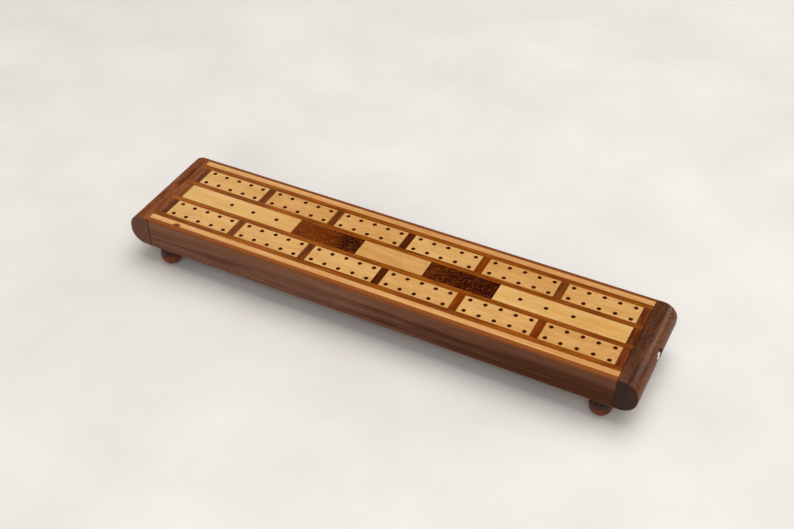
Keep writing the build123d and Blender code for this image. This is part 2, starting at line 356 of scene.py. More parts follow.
@dataclass(frozen=True)
class Wood:
    """A wood under satin varnish. Sizes are in millimetres.

    Attributes:
        name: The finish's name.
        pale, deep: Colours of the early and the late wood.
        vein: Colour of the darker veins.
        pore: Colour of the pores.
        end_grain: Colour where the grain is cut across.
        figure: Period of the figure across the grain.
        reach: Period of the figure along the grain.
        wander: How far the figure strays.
        figure_share, fibre_share, mottle_share: How much each moves the colour from pale to deep.
        vein_share: How dark the veins are.
        vein_start: How much of the wood they leave free, 0.5 for half of it.
        pore_length, pore_width: Size of a pore's dash.
        pore_start: How much of the wood the pores leave free.
        pore_share: How dark the pores are.
        roughness: Of the wood under the varnish.
        sheen: How much of the bare wood's own reflection is left under the varnish.
        varnish: How much of the varnish's own gloss shows.
        varnish_roughness: Of the varnish.
        relief: Depth of the pores.
        fibre: Period of the fibres, across and along the grain.
        mottle: The same for the soft clouds in the tone.
        contrast: How far a noise is spread before its share counts.
        vein_fade, pore_fade: How softly veins and pores set in, in the noise's own values.
        pore_roughness: How much rougher the pores are.
        end_grain_share: How much of the colour the end grain takes.
        joint_colour, joint_share: Of the glue line round the top.
        seam_colour, seam_share: Of the glued seam.
        seam_core, seam_edge: Half the seam's dark part, and where its dark ends.
        bore_shade, scorch: Of the holes' walls, a darker colour that is painted shade, and of the scorched
            halo round their rims.
    """

    name: str
    pale: Colour
    deep: Colour
    vein: Colour
    pore: Colour
    end_grain: Colour
    figure: float = 1.8
    reach: float = 40.0
    wander: float = 0.8
    figure_share: float = 0.8
    fibre_share: float = 0.35
    mottle_share: float = 0.25
    vein_share: float = 0.5
    vein_start: float = 0.56
    pore_length: float = 1.6
    pore_width: float = 0.16
    pore_start: float = 0.62
    pore_share: float = 0.5
    roughness: float = 0.45
    sheen: float = 0.0
    varnish: float = 0.35
    varnish_roughness: float = 0.16
    relief: float = 0.02
    fibre: tuple[float, float] = (0.22, 7.0)
    mottle: tuple[float, float] = (5.0, 14.0)
    contrast: float = 3.2
    vein_fade: float = 0.13
    pore_fade: float = 0.07
    pore_roughness: float = 0.18
    end_grain_share: float = 0.75
    joint_colour: Colour = rgb(58, 24, 4)
    joint_share: float = 0.6
    seam_colour: Colour = rgb(40, 18, 8)
    seam_share: float = 0.85
    seam_core: float = 0.2
    seam_edge: float = 0.42
    # Painted shade: the holes' walls are darkened for the shade deep inside them.
    bore_shade: Colour = rgb(112, 52, 20)
    scorch: Colour = rgb(160, 88, 36)

    def material(self, piece: str, cut: Cut) -> bpy.types.Material:
        """Make the piece's own material.

        Args:
            piece: The piece's name.
            cut: How the piece was cut.

        Returns:
            The material.
        """
        graph = Graph(f"{self.name}_{piece}")
        place = graph.place()
        sway_size = self._period(cut.grain, SWAY_WIDTH * self.figure, self.reach)
        swayed = graph.sway(place, sway_size, self.wander * MM, cut.seed + 11)
        colour = self._wood(graph, place, swayed, cut)
        pores = self._pores(graph, swayed, cut)
        colour = graph.mix(pores * self.pore_share, colour, self.pore)
        colour = self._cut_ends(graph, colour, cut)
        colour = self.marks(graph, colour, place, cut)
        if cut.joint:
            colour = self._glue_line(graph, colour, place, cut)
        if cut.seam is not None:
            colour = self._seam_line(graph, colour, place, cut)
        rough = graph.scale(pores, 0.0, 1.0, self.roughness, self.roughness + self.pore_roughness)
        if cut.bored:
            colour, rough = self._bores(graph, colour, rough)
        return graph.surface(
            {
                "Base Color": colour,
                "Roughness": rough,
                "Normal": graph.bump(1 - pores, self.relief * MM, 0.5),
                "IOR": 1.45,
                "Specular IOR Level": self.sheen,
                "Coat Weight": self.varnish,
                "Coat Roughness": self.varnish_roughness,
                "Coat IOR": 1.5,
            }
        )

    def marks(self, graph: Graph, colour: Wire, place: Wire, cut: Cut) -> Wire:
        """Whatever else a kind of wood carries: nothing, unless a finish of its own says so."""
        return colour

    @staticmethod
    def _period(grain: Grain, across: float, along: float) -> Vector:
        """A pattern's period in each axis, metres, from millimetres across and along the grain."""
        size = Vector((across, across, across))
        size[grain.value] = along
        return size * MM

    def _wood(self, graph: Graph, place: Wire, swayed: Wire, cut: Cut) -> Wire:
        """The wood's colour: figure, fibres and mottling from pale to deep, then the veins."""
        figure = graph.noise(
            swayed, self._period(cut.grain, self.figure, self.reach), cut.seed, detail=3.0, rough=0.55
        )
        fibre = graph.noise(
            swayed, self._period(cut.grain, *self.fibre), cut.seed + 3, detail=2.0, rough=0.6
        )
        mottle = graph.noise(
            place, self._period(cut.grain, *self.mottle), cut.seed + 5, detail=2.0, rough=0.6
        )
        along = graph.parts(place)[0]
        reach = [cut.low.x + share * (cut.high.x - cut.low.x) for share in cut.tone_reach]
        tone = graph.scale(along, *reach, cut.tone, cut.tone_end)
        depth = (
            0.5 + tone
            + (figure - 0.5) * (self.contrast * self.figure_share)
            + (fibre - 0.5) * (self.contrast * self.fibre_share)
            + (mottle - 0.5) * (self.contrast * self.mottle_share)
        )
        colour = graph.mix(depth, self.pale, self.deep)
        vein_size = self._period(cut.grain, VEIN_WIDTH * self.figure, VEIN_REACH * self.reach)
        veins = graph.noise(swayed, vein_size, cut.seed + 8, detail=3.0, rough=0.6)
        share = graph.step(veins, self.vein_start, self.vein_start + self.vein_fade) * self.vein_share
        return graph.mix(share, colour, self.vein)

    def _pores(self, graph: Graph, swayed: Wire, cut: Cut) -> Wire:
        """Short dashes along the grain, 0 to 1."""
        size = self._period(cut.grain, self.pore_width, self.pore_length)
        noise = graph.noise(swayed, size, cut.seed + 2, detail=1.0, rough=0.4)
        return graph.step(noise, self.pore_start, self.pore_start + self.pore_fade)

    def _cut_ends(self, graph: Graph, colour: Wire, cut: Cut) -> Wire:
        """Where the surface faces along the grain it shows end grain."""
        facing = abs(graph.parts(graph.facing())[cut.grain.value])
        return graph.mix(graph.step(facing, 0.75, 0.97) * self.end_grain_share, colour, self.end_grain)

    def _glue_line(self, graph: Graph, colour: Wire, place: Wire, cut: Cut) -> Wire:
        """A thin dark line where the piece's top meets its neighbours."""
        across = graph.parts(place)
        middle = (cut.low + cut.high) / 2
        half = (cut.high - cut.low) / 2
        inward = [half[axis] - abs(across[axis] - middle[axis]) for axis in (0, 1)]
        line = graph.step(inward[0].lowest(inward[1]), cut.joint * MM, 0.25 * cut.joint * MM)
        return graph.mix(line * self.joint_share, colour, self.joint_colour)

    def _seam_line(self, graph: Graph, colour: Wire, place: Wire, cut: Cut) -> Wire:
        """The dark line of the glued seam at one end of the piece, on its upright faces."""
        beside = abs(graph.parts(place)[0] - cut.seam)
        upright = graph.step(abs(graph.parts(graph.facing())[2]), 0.8, 0.4)
        line = graph.step(beside, self.seam_edge * MM, self.seam_core * MM)
        return graph.mix(line * upright * self.seam_share, colour, self.seam_colour)

    def _bores(self, graph: Graph, colour: Wire, rough: Wire) -> tuple[Wire, Wire]:
        """The holes' walls, which the mesh marks with 1, darkened as painted shade, and the drill's scorched
        halo round them.
        """
        bore = graph.attribute("bore")
        colour = graph.mix(graph.scale(bore, 0.0, 0.6, 0.0, 0.5), colour, self.scorch)
        # Painted shade: the walls take the darker colour for the shade inside the holes.
        colour = graph.mix(graph.step(bore, 0.6, 1.0), colour, self.bore_shade)
        return colour, graph.scale(bore, 0.4, 1.0, 0.0, 0.35) + rough


@dataclass(frozen=True)
class RailWood(Wood):
    """Rail walnut, redder along its rounded top edge, below that and along its lower edge: painted highlight
    on the top edge, and painted bounce light from the floor on the lower edge.

    Attributes:
        edge: Colour of the painted highlight on the top edge.
        shoulder: Colour below it.
        foot_edge: Colour of the painted bounce light from the floor on the lower edge.
        edge_depth: How far down the top edge's colour reaches, millimetres.
        shoulder_depth: How far down the shoulder's colour reaches, millimetres.
        foot_edge_depth: How far up the lower edge's reaches, millimetres.
        edge_share, shoulder_share, foot_edge_share: How much each hides the wood.
        stray: How far the edges' borders stray up and down, millimetres.
        stray_length, stray_height: Period of that, millimetres.
    """

    # Painted highlight on the rounded top edge.
    edge: Colour = rgb(143, 76, 27)
    shoulder: Colour = rgb(146, 98, 72)
    # Painted bounce light from the floor on the lower edge.
    foot_edge: Colour = rgb(118, 72, 50)
    edge_depth: float = 1.9
    shoulder_depth: float = 8.0
    foot_edge_depth: float = 1.4
    edge_share: float = 0.85
    shoulder_share: float = 0.35
    foot_edge_share: float = 0.6
    stray: float = 2.4
    stray_length: float = 22.0
    stray_height: float = 3.0

    def marks(self, graph: Graph, colour: Wire, place: Wire, cut: Cut) -> Wire:
        """Redden both long edges and the shoulder, unevenly along the rail: painted highlight on the top
        edge, painted bounce light on the lower edge.
        """
        height = graph.parts(place)[2]
        size = self._period(cut.grain, self.stray_height, self.stray_length)
        uneven = graph.noise(place, size, cut.seed + 21, detail=2.0)
        sway = (uneven - 0.5) * (self.stray * MM)
        top = graph.step(height + sway, cut.high.z - self.edge_depth * MM, cut.high.z - 0.2 * MM)
        foot = graph.step(height + sway, cut.low.z + self.foot_edge_depth * MM, cut.low.z + 0.3 * MM)
        shoulder = graph.step(
            height + sway, cut.high.z - self.shoulder_depth * MM, cut.high.z - 0.5 * self.shoulder_depth * MM
        )
        colour = graph.mix(shoulder * self.shoulder_share, colour, self.shoulder)
        # Painted bounce light along the lower edge.
        colour = graph.mix(foot * self.foot_edge_share, colour, self.foot_edge)
        # Painted highlight along the top edge.
        return graph.mix(top * self.edge_share, colour, self.edge)


@dataclass(frozen=True)
class DishedWood(Wood):
    """End-block walnut, darkened in the dish round the pull as painted shade.

    Attributes:
        dish_shade: Colour of the painted shade in the dish.
        dish_offset: Its middle in Y, millimetres.
        dish_radius: Millimetres.
        dish_fade: How softly it ends, millimetres.
        dish_start, dish_full: Where it sets in and is full, millimetres in from the block's tip.
        dish_share: How much it hides the wood.
    """

    # Painted shade in the dish round the pull.
    dish_shade: Colour = rgb(26, 14, 8)
    dish_offset: float = 2.0
    dish_radius: float = 4.3
    dish_fade: float = 0.5
    dish_start: float = 6.0
    dish_full: float = 5.0
    dish_share: float = 0.6

    def marks(self, graph: Graph, colour: Wire, place: Wire, cut: Cut) -> Wire:
        """Darken the outer half of the block inside a circle round the dish's axis, as painted shade in the
        recess.
        """
        x, y, z = graph.parts(place)
        across, up = y - self.dish_offset * MM, z - (cut.low.z + cut.high.z) / 2
        radius = (across * across + up * up) ** 0.5
        inside = graph.step(radius, self.dish_radius * MM, (self.dish_radius - self.dish_fade) * MM)
        outer = graph.step(x, cut.high.x - self.dish_start * MM, cut.high.x - self.dish_full * MM)
        # Painted shade: the dish is darkened where the recess lies in shadow.
        return graph.mix(inside * outer * self.dish_share, colour, self.dish_shade)


@dataclass(frozen=True)
class FootWood(Wood):
    """Foot wood, darkened from the waist up to the collar as painted shade under the case.

    Attributes:
        dark: Colour of the painted shade at the collar.
        shade_start, shade_end: Where it begins and where it is full, as shares of the height.
        shade_share: How much it hides the wood.
    """

    # Painted shade under the case, darkest at the collar.
    dark: Colour = rgb(22, 11, 7)
    shade_start: float = 0.4
    shade_end: float = 0.8
    shade_share: float = 0.9

    def marks(self, graph: Graph, colour: Wire, place: Wire, cut: Cut) -> Wire:
        """Darken the wood smoothly with height, as painted shade under the case."""
        tall = cut.high.z - cut.low.z
        up = graph.parts(place)[2]
        # Painted shade: darker with height towards the collar, where the case above shades the foot.
        dark = graph.step(up, cut.low.z + self.shade_start * tall, cut.low.z + self.shade_end * tall)
        return graph.mix(dark * self.shade_share, colour, self.dark)


@dataclass(frozen=True)
class KnottedWood(Wood):
    """Edge-strip wood with one small reddish knot at the strip's outer edge.

    Attributes:
        knot: Its colour.
        knot_x: Where it lies along the box, millimetres.
        knot_inset: Its middle in Y, from the strip's front side, millimetres.
        knot_length, knot_width: Its half sizes, millimetres.
        knot_share: How much it hides the wood.
        halo, halo_share: Of the darker grain round it.
        ragged: How ragged both are, in the knot's half sizes.
    """

    knot: Colour = rgb(112, 46, 22)
    knot_x: float = -101.6
    knot_inset: float = 0.5
    knot_length: float = 1.9
    knot_width: float = 1.3
    knot_share: float = 0.95
    halo: Colour = rgb(196, 118, 62)
    halo_share: float = 0.45
    ragged: float = 1.3

    def marks(self, graph: Graph, colour: Wire, place: Wire, cut: Cut) -> Wire:
        """Paint the knot as a ragged ellipse, with the grain darkened round it."""
        x, y, _ = graph.parts(place)
        ragged = graph.noise(place, Vector((1.2, 0.8, 0.8)) * MM, cut.seed + 31, detail=2.0)
        along = (x - self.knot_x * MM) / (self.knot_length * MM)
        across = (y - (cut.low.y + self.knot_inset * MM)) / (self.knot_width * MM)
        span = (along * along + across * across) ** 0.5 + (ragged - 0.5) * self.ragged
        colour = graph.mix(graph.step(span, 1.7, 1.0) * self.halo_share, colour, self.halo)
        return graph.mix(graph.step(span, 1.12, 0.8) * self.knot_share, colour, self.knot)


@dataclass(frozen=True)
class Nickel:
    """Polished nickel, turned: fine rings round the pull's axis, and a few tarnished spots.

    Attributes:
        name: The finish's name.
        bright: Its colour.
        dull: Colour of the tarnish in its rings.
        ring, ring_depth: Period and depth of the turning marks, millimetres.
        stain: Size of the tarnished spots, millimetres.
    """

    name: str = "polished_nickel"
    bright: Colour = rgb(246, 241, 232)
    dull: Colour = rgb(190, 178, 160)
    ring: float = 0.12
    ring_depth: float = 0.002
    stain: float = 0.9

    def material(self, piece: str, cut: Cut) -> bpy.types.Material:
        """Make the piece's own material.

        Args:
            piece: The piece's name.
            cut: Its box, whose middle is the axis of turning.

        Returns:
            The material.
        """
        graph = Graph(f"{self.name}_{piece}")
        place = graph.place()
        _, y, z = graph.parts(place)
        middle = (cut.low + cut.high) / 2
        across, up = y - middle.y, z - middle.z
        radius = (across * across + up * up) ** 0.5
        rings = (radius * (2 * math.pi / (self.ring * MM))).wave()
        stain = graph.noise(place, Vector.Fill(3, self.stain) * MM, 4.0, detail=3.0)
        colour = graph.mix(graph.step(stain, 0.52, 0.72) * 0.5, self.bright, self.dull)
        return graph.surface(
            {
                "Base Color": colour,
                "Metallic": 1.0,
                "Roughness": graph.scale(stain, 0.35, 0.7, 0.32, 0.44),
                "Normal": graph.bump(rings, self.ring_depth * MM, 0.25),
            }
        )


TILE_WOOD = Wood(
    "tile_maple", pale=rgb(220, 173, 107), deep=rgb(198, 141, 76), vein=rgb(188, 126, 62),
    pore=rgb(176, 112, 54), end_grain=rgb(186, 132, 76), figure=2.6, reach=26.0, wander=0.5,
    figure_share=0.45, fibre_share=0.45, mottle_share=0.4, vein_share=0.25, vein_start=0.58,
    pore_length=1.5, pore_width=0.17, pore_start=0.6, pore_share=0.5, roughness=0.5,
)
CENTRE_LIGHT_WOOD = Wood(
    "centre_light_wood", pale=rgb(225, 182, 115), deep=rgb(203, 150, 80), vein=rgb(194, 134, 64),
    pore=rgb(190, 128, 62), end_grain=rgb(190, 140, 80), figure=3.0, reach=60.0, wander=0.7,
    figure_share=0.5, fibre_share=0.25, mottle_share=0.3, vein_share=0.2, vein_start=0.6,
    pore_length=1.8, pore_width=0.14, pore_start=0.64, pore_share=0.35, roughness=0.5,
)
CENTRE_DARK_WOOD = Wood(
    "centre_dark_wood", pale=rgb(120, 54, 6), deep=rgb(48, 8, 0), vein=rgb(28, 4, 0),
    pore=rgb(150, 78, 20), end_grain=rgb(52, 18, 6), figure=1.0, reach=3.0, wander=0.6,
    figure_share=0.7, fibre_share=0.5, mottle_share=0.35, vein_share=0.55, vein_start=0.54,
    pore_length=1.2, pore_width=0.45, pore_start=0.6, pore_share=0.5, roughness=0.45, varnish=0.25,
)
EDGE_LIGHT_WOOD = Wood(
    "edge_light_wood", pale=rgb(220, 166, 103), deep=rgb(195, 131, 73), vein=rgb(174, 98, 46),
    pore=rgb(172, 104, 54), end_grain=rgb(180, 122, 70), figure=1.5, reach=90.0, wander=0.5,
    figure_share=0.7, fibre_share=0.3, mottle_share=0.2, vein_share=0.6, vein_start=0.56,
    pore_length=3.2, pore_width=0.15, pore_start=0.61, pore_share=0.5, roughness=0.48,
)
KNOTTED_EDGE_WOOD = KnottedWood(**vars(EDGE_LIGHT_WOOD))
BROWN_STRIP_WOOD = Wood(
    "brown_strip_wood", pale=rgb(160, 86, 16), deep=rgb(108, 43, 0), vein=rgb(70, 24, 0),
    pore=rgb(60, 22, 4), end_grain=rgb(86, 40, 10), figure=1.1, reach=34.0, wander=0.6,
    figure_share=0.8, fibre_share=0.5, mottle_share=0.4, vein_share=0.7, vein_start=0.55,
    pore_length=2.6, pore_width=0.16, pore_start=0.6, pore_share=0.6,
)
CROSS_BROWN_WOOD = replace(
    BROWN_STRIP_WOOD, name="cross_wood", pale=rgb(132, 70, 18), deep=rgb(80, 35, 6), reach=16.0,
)
CROSS_DARK_WOOD = replace(
    CROSS_BROWN_WOOD, pale=rgb(98, 36, 4), deep=rgb(54, 13, 0), vein=rgb(36, 8, 0),
)
CROSS_ORANGE_WOOD = replace(
    CROSS_BROWN_WOOD, pale=rgb(146, 66, 2), deep=rgb(104, 38, 0), vein=rgb(80, 26, 0),
)
LEFT_BAND_WOOD = replace(
    CROSS_BROWN_WOOD, pale=rgb(146, 84, 38), deep=rgb(108, 52, 18), vein=rgb(84, 36, 10),
)
RIGHT_BAND_WOOD = replace(
    CROSS_BROWN_WOOD, pale=rgb(130, 66, 26), deep=rgb(78, 30, 6), vein=rgb(58, 20, 2),
)
RAIL_WALNUT = RailWood(
    "rail_walnut", pale=rgb(128, 88, 68), deep=rgb(78, 43, 24), vein=rgb(50, 27, 17),
    pore=rgb(40, 24, 18), end_grain=rgb(84, 56, 42), figure=2.4, reach=75.0, wander=1.8,
    figure_share=0.6, fibre_share=0.3, mottle_share=0.15, vein_share=0.55, vein_start=0.54,
    pore_length=3.4, pore_width=0.16, pore_start=0.62, pore_share=0.5, roughness=0.5, varnish=0.12,
    varnish_roughness=0.3,
)
# The back rail's painted highlight on its top edge is a little darker.
BACK_RAIL_WALNUT = replace(RAIL_WALNUT, edge=rgb(126, 66, 25))
LEFT_END_WALNUT = Wood(
    "end_walnut", pale=rgb(154, 92, 52), deep=rgb(88, 40, 14), vein=rgb(62, 28, 12),
    pore=rgb(54, 25, 13), end_grain=rgb(98, 71, 58), figure=1.7, reach=22.0, wander=1.4,
    figure_share=0.75, fibre_share=0.4, mottle_share=0.3, vein_share=0.55, vein_start=0.54,
    pore_length=2.4, pore_width=0.4, pore_start=0.6, pore_share=0.5, varnish=0.2, varnish_roughness=0.3,
)
# Its dish round the pull is darkened as painted shade.
RIGHT_END_WALNUT = DishedWood(
    "end_walnut", pale=rgb(116, 63, 24), deep=rgb(62, 29, 8), vein=rgb(38, 15, 4),
    pore=rgb(26, 10, 3), end_grain=rgb(32, 12, 5), figure=2.0, reach=30.0, wander=1.4,
    figure_share=0.6, fibre_share=0.4, mottle_share=0.3, vein_share=0.5, vein_start=0.55,
    pore_length=1.1, pore_width=0.7, pore_start=0.52, pore_share=0.6, varnish=0.4, varnish_roughness=0.3,
)
# Darkened towards the collar as painted shade.
FOOT_WOOD = FootWood(
    "foot_wood", pale=rgb(138, 66, 26), deep=rgb(84, 34, 12), vein=rgb(52, 20, 8),
    pore=rgb(54, 25, 13), end_grain=rgb(84, 42, 26), figure=1.4, reach=18.0, wander=1.4,
    figure_share=0.75, fibre_share=0.4, mottle_share=0.3, vein_share=0.55, vein_start=0.54,
    pore_length=2.2, pore_width=0.15, pore_start=0.61, pore_share=0.45, varnish=0.5, varnish_roughness=0.16,
)
INNER_WOOD = Wood(
    "inner_wood", pale=rgb(214, 172, 122), deep=rgb(188, 138, 88), vein=rgb(170, 116, 70),
    pore=rgb(150, 98, 56), end_grain=rgb(166, 118, 76), figure=2.8, reach=70.0, wander=1.2,
    figure_share=0.6, fibre_share=0.35, vein_share=0.3, pore_share=0.35, roughness=0.6, sheen=0.35,
    varnish=0.0,
)
BOARD_WOOD = replace(
    INNER_WOOD, pale=rgb(112, 70, 44), deep=rgb(78, 44, 26), vein=rgb(58, 32, 20), pore=rgb(46, 26, 16),
    end_grain=rgb(76, 46, 30),
)
PEG_LIGHT_WOOD = replace(
    TILE_WOOD, name="peg_light_wood", figure=0.9, reach=20.0, pore_width=0.1, end_grain=rgb(200, 150, 92),
)
PEG_DARK_WOOD = replace(
    CROSS_DARK_WOOD, name="peg_dark_wood", figure=0.7, reach=18.0, pore_width=0.1,
)
PULL_NICKEL = Nickel()


# ---------------------------------------------------------------------------------------------
# Meshes from arrays of points
# ---------------------------------------------------------------------------------------------


def arc(centre: tuple[float, float], radius: float, start: float, stop: float, steps: int) -> np.ndarray:
    """Points of a circle's arc: centre plus radius times cosine and sine, at even angles.

    Args:
        centre: Middle of the circle.
        radius: Its radius.
        start, stop: Angles in degrees.
        steps: Number of equal parts.

    Returns:
        Array of steps + 1 points.
    """
    angle = np.radians(np.linspace(start, stop, steps + 1))
    return np.column_stack((centre[0] + radius * np.cos(angle), centre[1] + radius * np.sin(angle)))


class Skin:
    """Quads and outlines that are gathered, welded and made into one closed mesh."""

    def __init__(self) -> None:
        """Start with nothing."""
        self.quads: list[np.ndarray] = []
        self.outlines: list[np.ndarray] = []

    def add_quads(self, corners: np.ndarray) -> None:
        """Add quads given as an array that ends in 4 corners of 3 numbers."""
        self.quads.append(np.asarray(corners, float).reshape(-1, 4, 3))

    def add_sheet(self, points: np.ndarray, round_it: bool = False, keep: np.ndarray | None = None) -> None:
        """Add the quads between neighbouring rows and columns of a grid of points.

        Args:
            points: Array of rows by columns by 3, with any leading axes for further grids.
            round_it: Whether the last column joins the first.
            keep: Which of the (rows - 1) by (columns - 1) quads to keep, or all.
        """
        if round_it:
            points = np.concatenate((points, points[..., :1, :]), axis=-2)
        corners = np.stack(
            (
                points[..., :-1, :-1, :], points[..., 1:, :-1, :],
                points[..., 1:, 1:, :], points[..., :-1, 1:, :],
            ),
            axis=-2,
        )
        self.add_quads(corners if keep is None else corners[keep])

    def add_outline(self, points: np.ndarray) -> None:
        """Add one flat face with that outline."""
        self.outlines.append(np.asarray(points, float))

    def mesh(self, name: str) -> bpy.types.Object:
        """Weld all that was added into an object with smooth shading and crisp edges.

        Args:
            name: The object's name.

        Returns:
            The object, linked to the scene.
        """
        quads = np.concatenate(self.quads) if self.quads else np.zeros((0, 4, 3))
        points = np.concatenate([quads.reshape(-1, 3), *self.outlines])
        faces = np.arange(len(quads) * 4).reshape(-1, 4).tolist()
        start = len(quads) * 4
        for outline in self.outlines:
            faces.append(list(range(start, start + len(outline))))
            start += len(outline)
        data = bpy.data.meshes.new(name)
        data.from_pydata(points, [], faces)
        shape = bmesh.new()
        shape.from_mesh(data)
        bmesh.ops.remove_doubles(shape, verts=shape.verts, dist=MERGE_DISTANCE)
        bmesh.ops.dissolve_degenerate(shape, edges=shape.edges, dist=MERGE_DISTANCE)
        bmesh.ops.recalc_face_normals(shape, faces=shape.faces)
        shape.to_mesh(data)
        shape.free()
        data.shade_smooth()
        data.set_sharp_from_angle(angle=SHARP_ANGLE)
        made = bpy.data.objects.new(name, data)
        bpy.context.scene.collection.objects.link(made)
        return made


def points_of(piece: bpy.types.Object) -> np.ndarray:
    """All points of a mesh piece, as an array of n by 3."""
    places = np.empty(len(piece.data.vertices) * 3, np.float32)
    piece.data.vertices.foreach_get("co", places)
    return places.reshape(-1, 3)


def extruded(name: str, section: np.ndarray, start: float, stop: float, axis: int = 0) -> bpy.types.Object:
    """Carry a closed section along an axis and close both ends with it.

    Args:
        name: The piece's name.
        section: Points of the outline in the other two axes: Y and Z, or X and Z.
        start, stop: Where the piece starts and ends on the axis.
        axis: 0 for X, 1 for Y.

    Returns:
        The piece.
    """
    skin = Skin()
    stations = np.array([start, stop])
    grid = np.empty((2, len(section), 3))
    grid[..., axis] = stations[:, None]
    grid[..., 1 - axis] = section[:, 0]
    grid[..., 2] = section[:, 1]
    skin.add_sheet(grid, round_it=True)
    skin.add_outline(grid[0])
    skin.add_outline(grid[1])
    return skin.mesh(name)


def turned(skin: Skin, profile: np.ndarray, foot: Vector, along_x: bool, steps: int) -> None:
    """Turn a profile round an axis: radius times cosine and sine beside it, the height along it.

    Args:
        skin: Where the surface goes.
        profile: Points of radius and height, from one pole to the other.
        foot: Where height 0 lies.
        along_x: Whether the axis is X; otherwise it is Z.
        steps: Number of parts of the turn.
    """
    angle = np.linspace(0, 2 * np.pi, steps, endpoint=False)
    radius, height = profile[:, :1], profile[:, 1:]
    side = np.stack((radius * np.cos(angle), radius * np.sin(angle)), axis=-1)
    rise = np.broadcast_to(height, side.shape[:2])[..., None]
    local = np.concatenate((rise, side) if along_x else (side, rise), axis=-1)
    skin.add_sheet(local + np.array(foot), round_it=True)


def stepped_face(skin: Skin, lines: np.ndarray, levels: np.ndarray, depth: np.ndarray, x: float) -> None:
    """Close a block's flat back face, where some cells stand out or are sunk.

    Cell (i, j) lies between lines i and i + 1 in Y and levels j and j + 1 in Z, at x plus its depth,
    and a wall joins each two neighbours of unequal depth, cut at every depth that occurs.

    Args:
        skin: Where the face goes.
        lines: The m values of Y.
        levels: m by k values of Z, one row for each line.
        depth: (m - 1) by (k - 1) depths.
        x: Where depth 0 lies.
    """
    y = np.broadcast_to(lines[:, None], levels.shape)

    def corner(row: slice, column: slice, sunk: np.ndarray | float) -> np.ndarray:
        """Points at those rows and columns, with the given depth."""
        across, up = y[row, column], levels[row, column]
        return np.stack((np.broadcast_to(x + sunk, across.shape), across, up), axis=-1)

    early, late, every = slice(None, -1), slice(1, None), slice(1, -1)
    ring = ((early, early), (late, early), (late, late), (early, late))
    skin.add_quads(np.stack([corner(row, column, depth) for row, column in ring], axis=-2))
    stages = np.unique(depth)
    for shallow, deep in zip(stages[:-1], stages[1:]):
        for first, second, low, high in (
            (depth[:-1], depth[1:], (every, early), (every, late)),
            (depth[:, :-1], depth[:, 1:], (early, every), (late, every)),
        ):
            wall = np.stack(
                (
                    corner(*low, shallow), corner(*high, shallow),
                    corner(*high, deep), corner(*low, deep),
                ),
                axis=-2,
            )
            between = (np.minimum(first, second) <= shallow) & (np.maximum(first, second) >= deep)
            skin.add_quads(wall[between])


# ---------------------------------------------------------------------------------------------
# Sub-assemblies
# ---------------------------------------------------------------------------------------------


@dataclass
class Assembly:
    """What all sub-assemblies share: the body they ride on, and how a piece is entered.

    Attributes:
        body: The CAD body.
    """

    body: str = "case"

    def enter(
        self, piece: bpy.types.Object, nodes: Sequence[str], slot: str, finish: "Wood | Nickel", cut: Cut
    ) -> None:
        """Dress a new piece and let it ride in place of its nodes.

        Args:
            piece: The piece.
            nodes: The CAD nodes that it stands for.
            slot: The record's material slot. Not used.
            finish: Its finish.
            cut: How it was cut.
        """
        piece.data.materials.append(finish.material(piece.name, cut))
        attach(piece, self.body)
        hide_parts(*nodes)
        log.info("%s: %d faces, for %s", piece.name, len(piece.data.polygons), ", ".join(nodes))

    def dress(self, node: str, finish: Wood, **cut: object) -> None:
        """Give a CAD node that stays its finish.

        Args:
            node: The node.
            finish: Its finish.
            cut: Fields of its Cut, apart from its box.
        """
        low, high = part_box(node)
        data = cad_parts[node].data
        data.materials.clear()
        data.materials.append(finish.material(node, Cut(low, high, **cut)))
        log.info("%s: %s", node, finish.name)


@dataclass
class Rails(Assembly):
    """The two rails, each one section carried along the case.

    Attributes:
        edge_round: Radius of the two outer long edges, millimetres.
        arc_steps: Parts of each rounded edge.
    """

    edge_round: float = 0.5
    arc_steps: int = 10

    def section(self, side: int) -> np.ndarray:
        """The rail's outline, from the core board's and the bottom board's boxes.

        Args:
            side: -1 for the front rail, 1 for the back rail.

        Returns:
            Points of Y and Z.
        """
        low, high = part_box("back_rail")
        core_low, core_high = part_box("core_board")
        bottom_low, bottom_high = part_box("bottom_board")
        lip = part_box("edge_strip_back")[1].y
        radius = self.edge_round * MM
        outline = np.concatenate(
            (
                [(low.y, low.z)],
                arc((high.y - radius, low.z + radius), radius, -90, 0, self.arc_steps),
                arc((high.y - radius, high.z - radius), radius, 0, 90, self.arc_steps),
                [
                    (lip, high.z), (lip, core_high.z), (core_high.y, core_high.z), (core_high.y, core_low.z),
                    (low.y, core_low.z), (low.y, bottom_high.z), (bottom_high.y, bottom_high.z),
                    (bottom_high.y, bottom_low.z), (low.y, bottom_low.z),
                ],
            )
        )
        return outline * (side, 1)

    def build(self) -> None:
        """Make both rails, greyer at their left end."""
        for node, side, seed, wood in (
            ("front_rail", -1, 2.0, RAIL_WALNUT), ("back_rail", 1, 9.0, BACK_RAIL_WALNUT)
        ):
            low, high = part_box(node)
            piece = extruded(f"{node}_walnut", self.section(side), low.x, high.x)
            cut = Cut(low, high, seed=seed, tone=-0.2, tone_end=0.6, tone_reach=(0.45, 0.8), seam=low.x)
            self.enter(piece, [node], "rail_walnut", wood, cut)


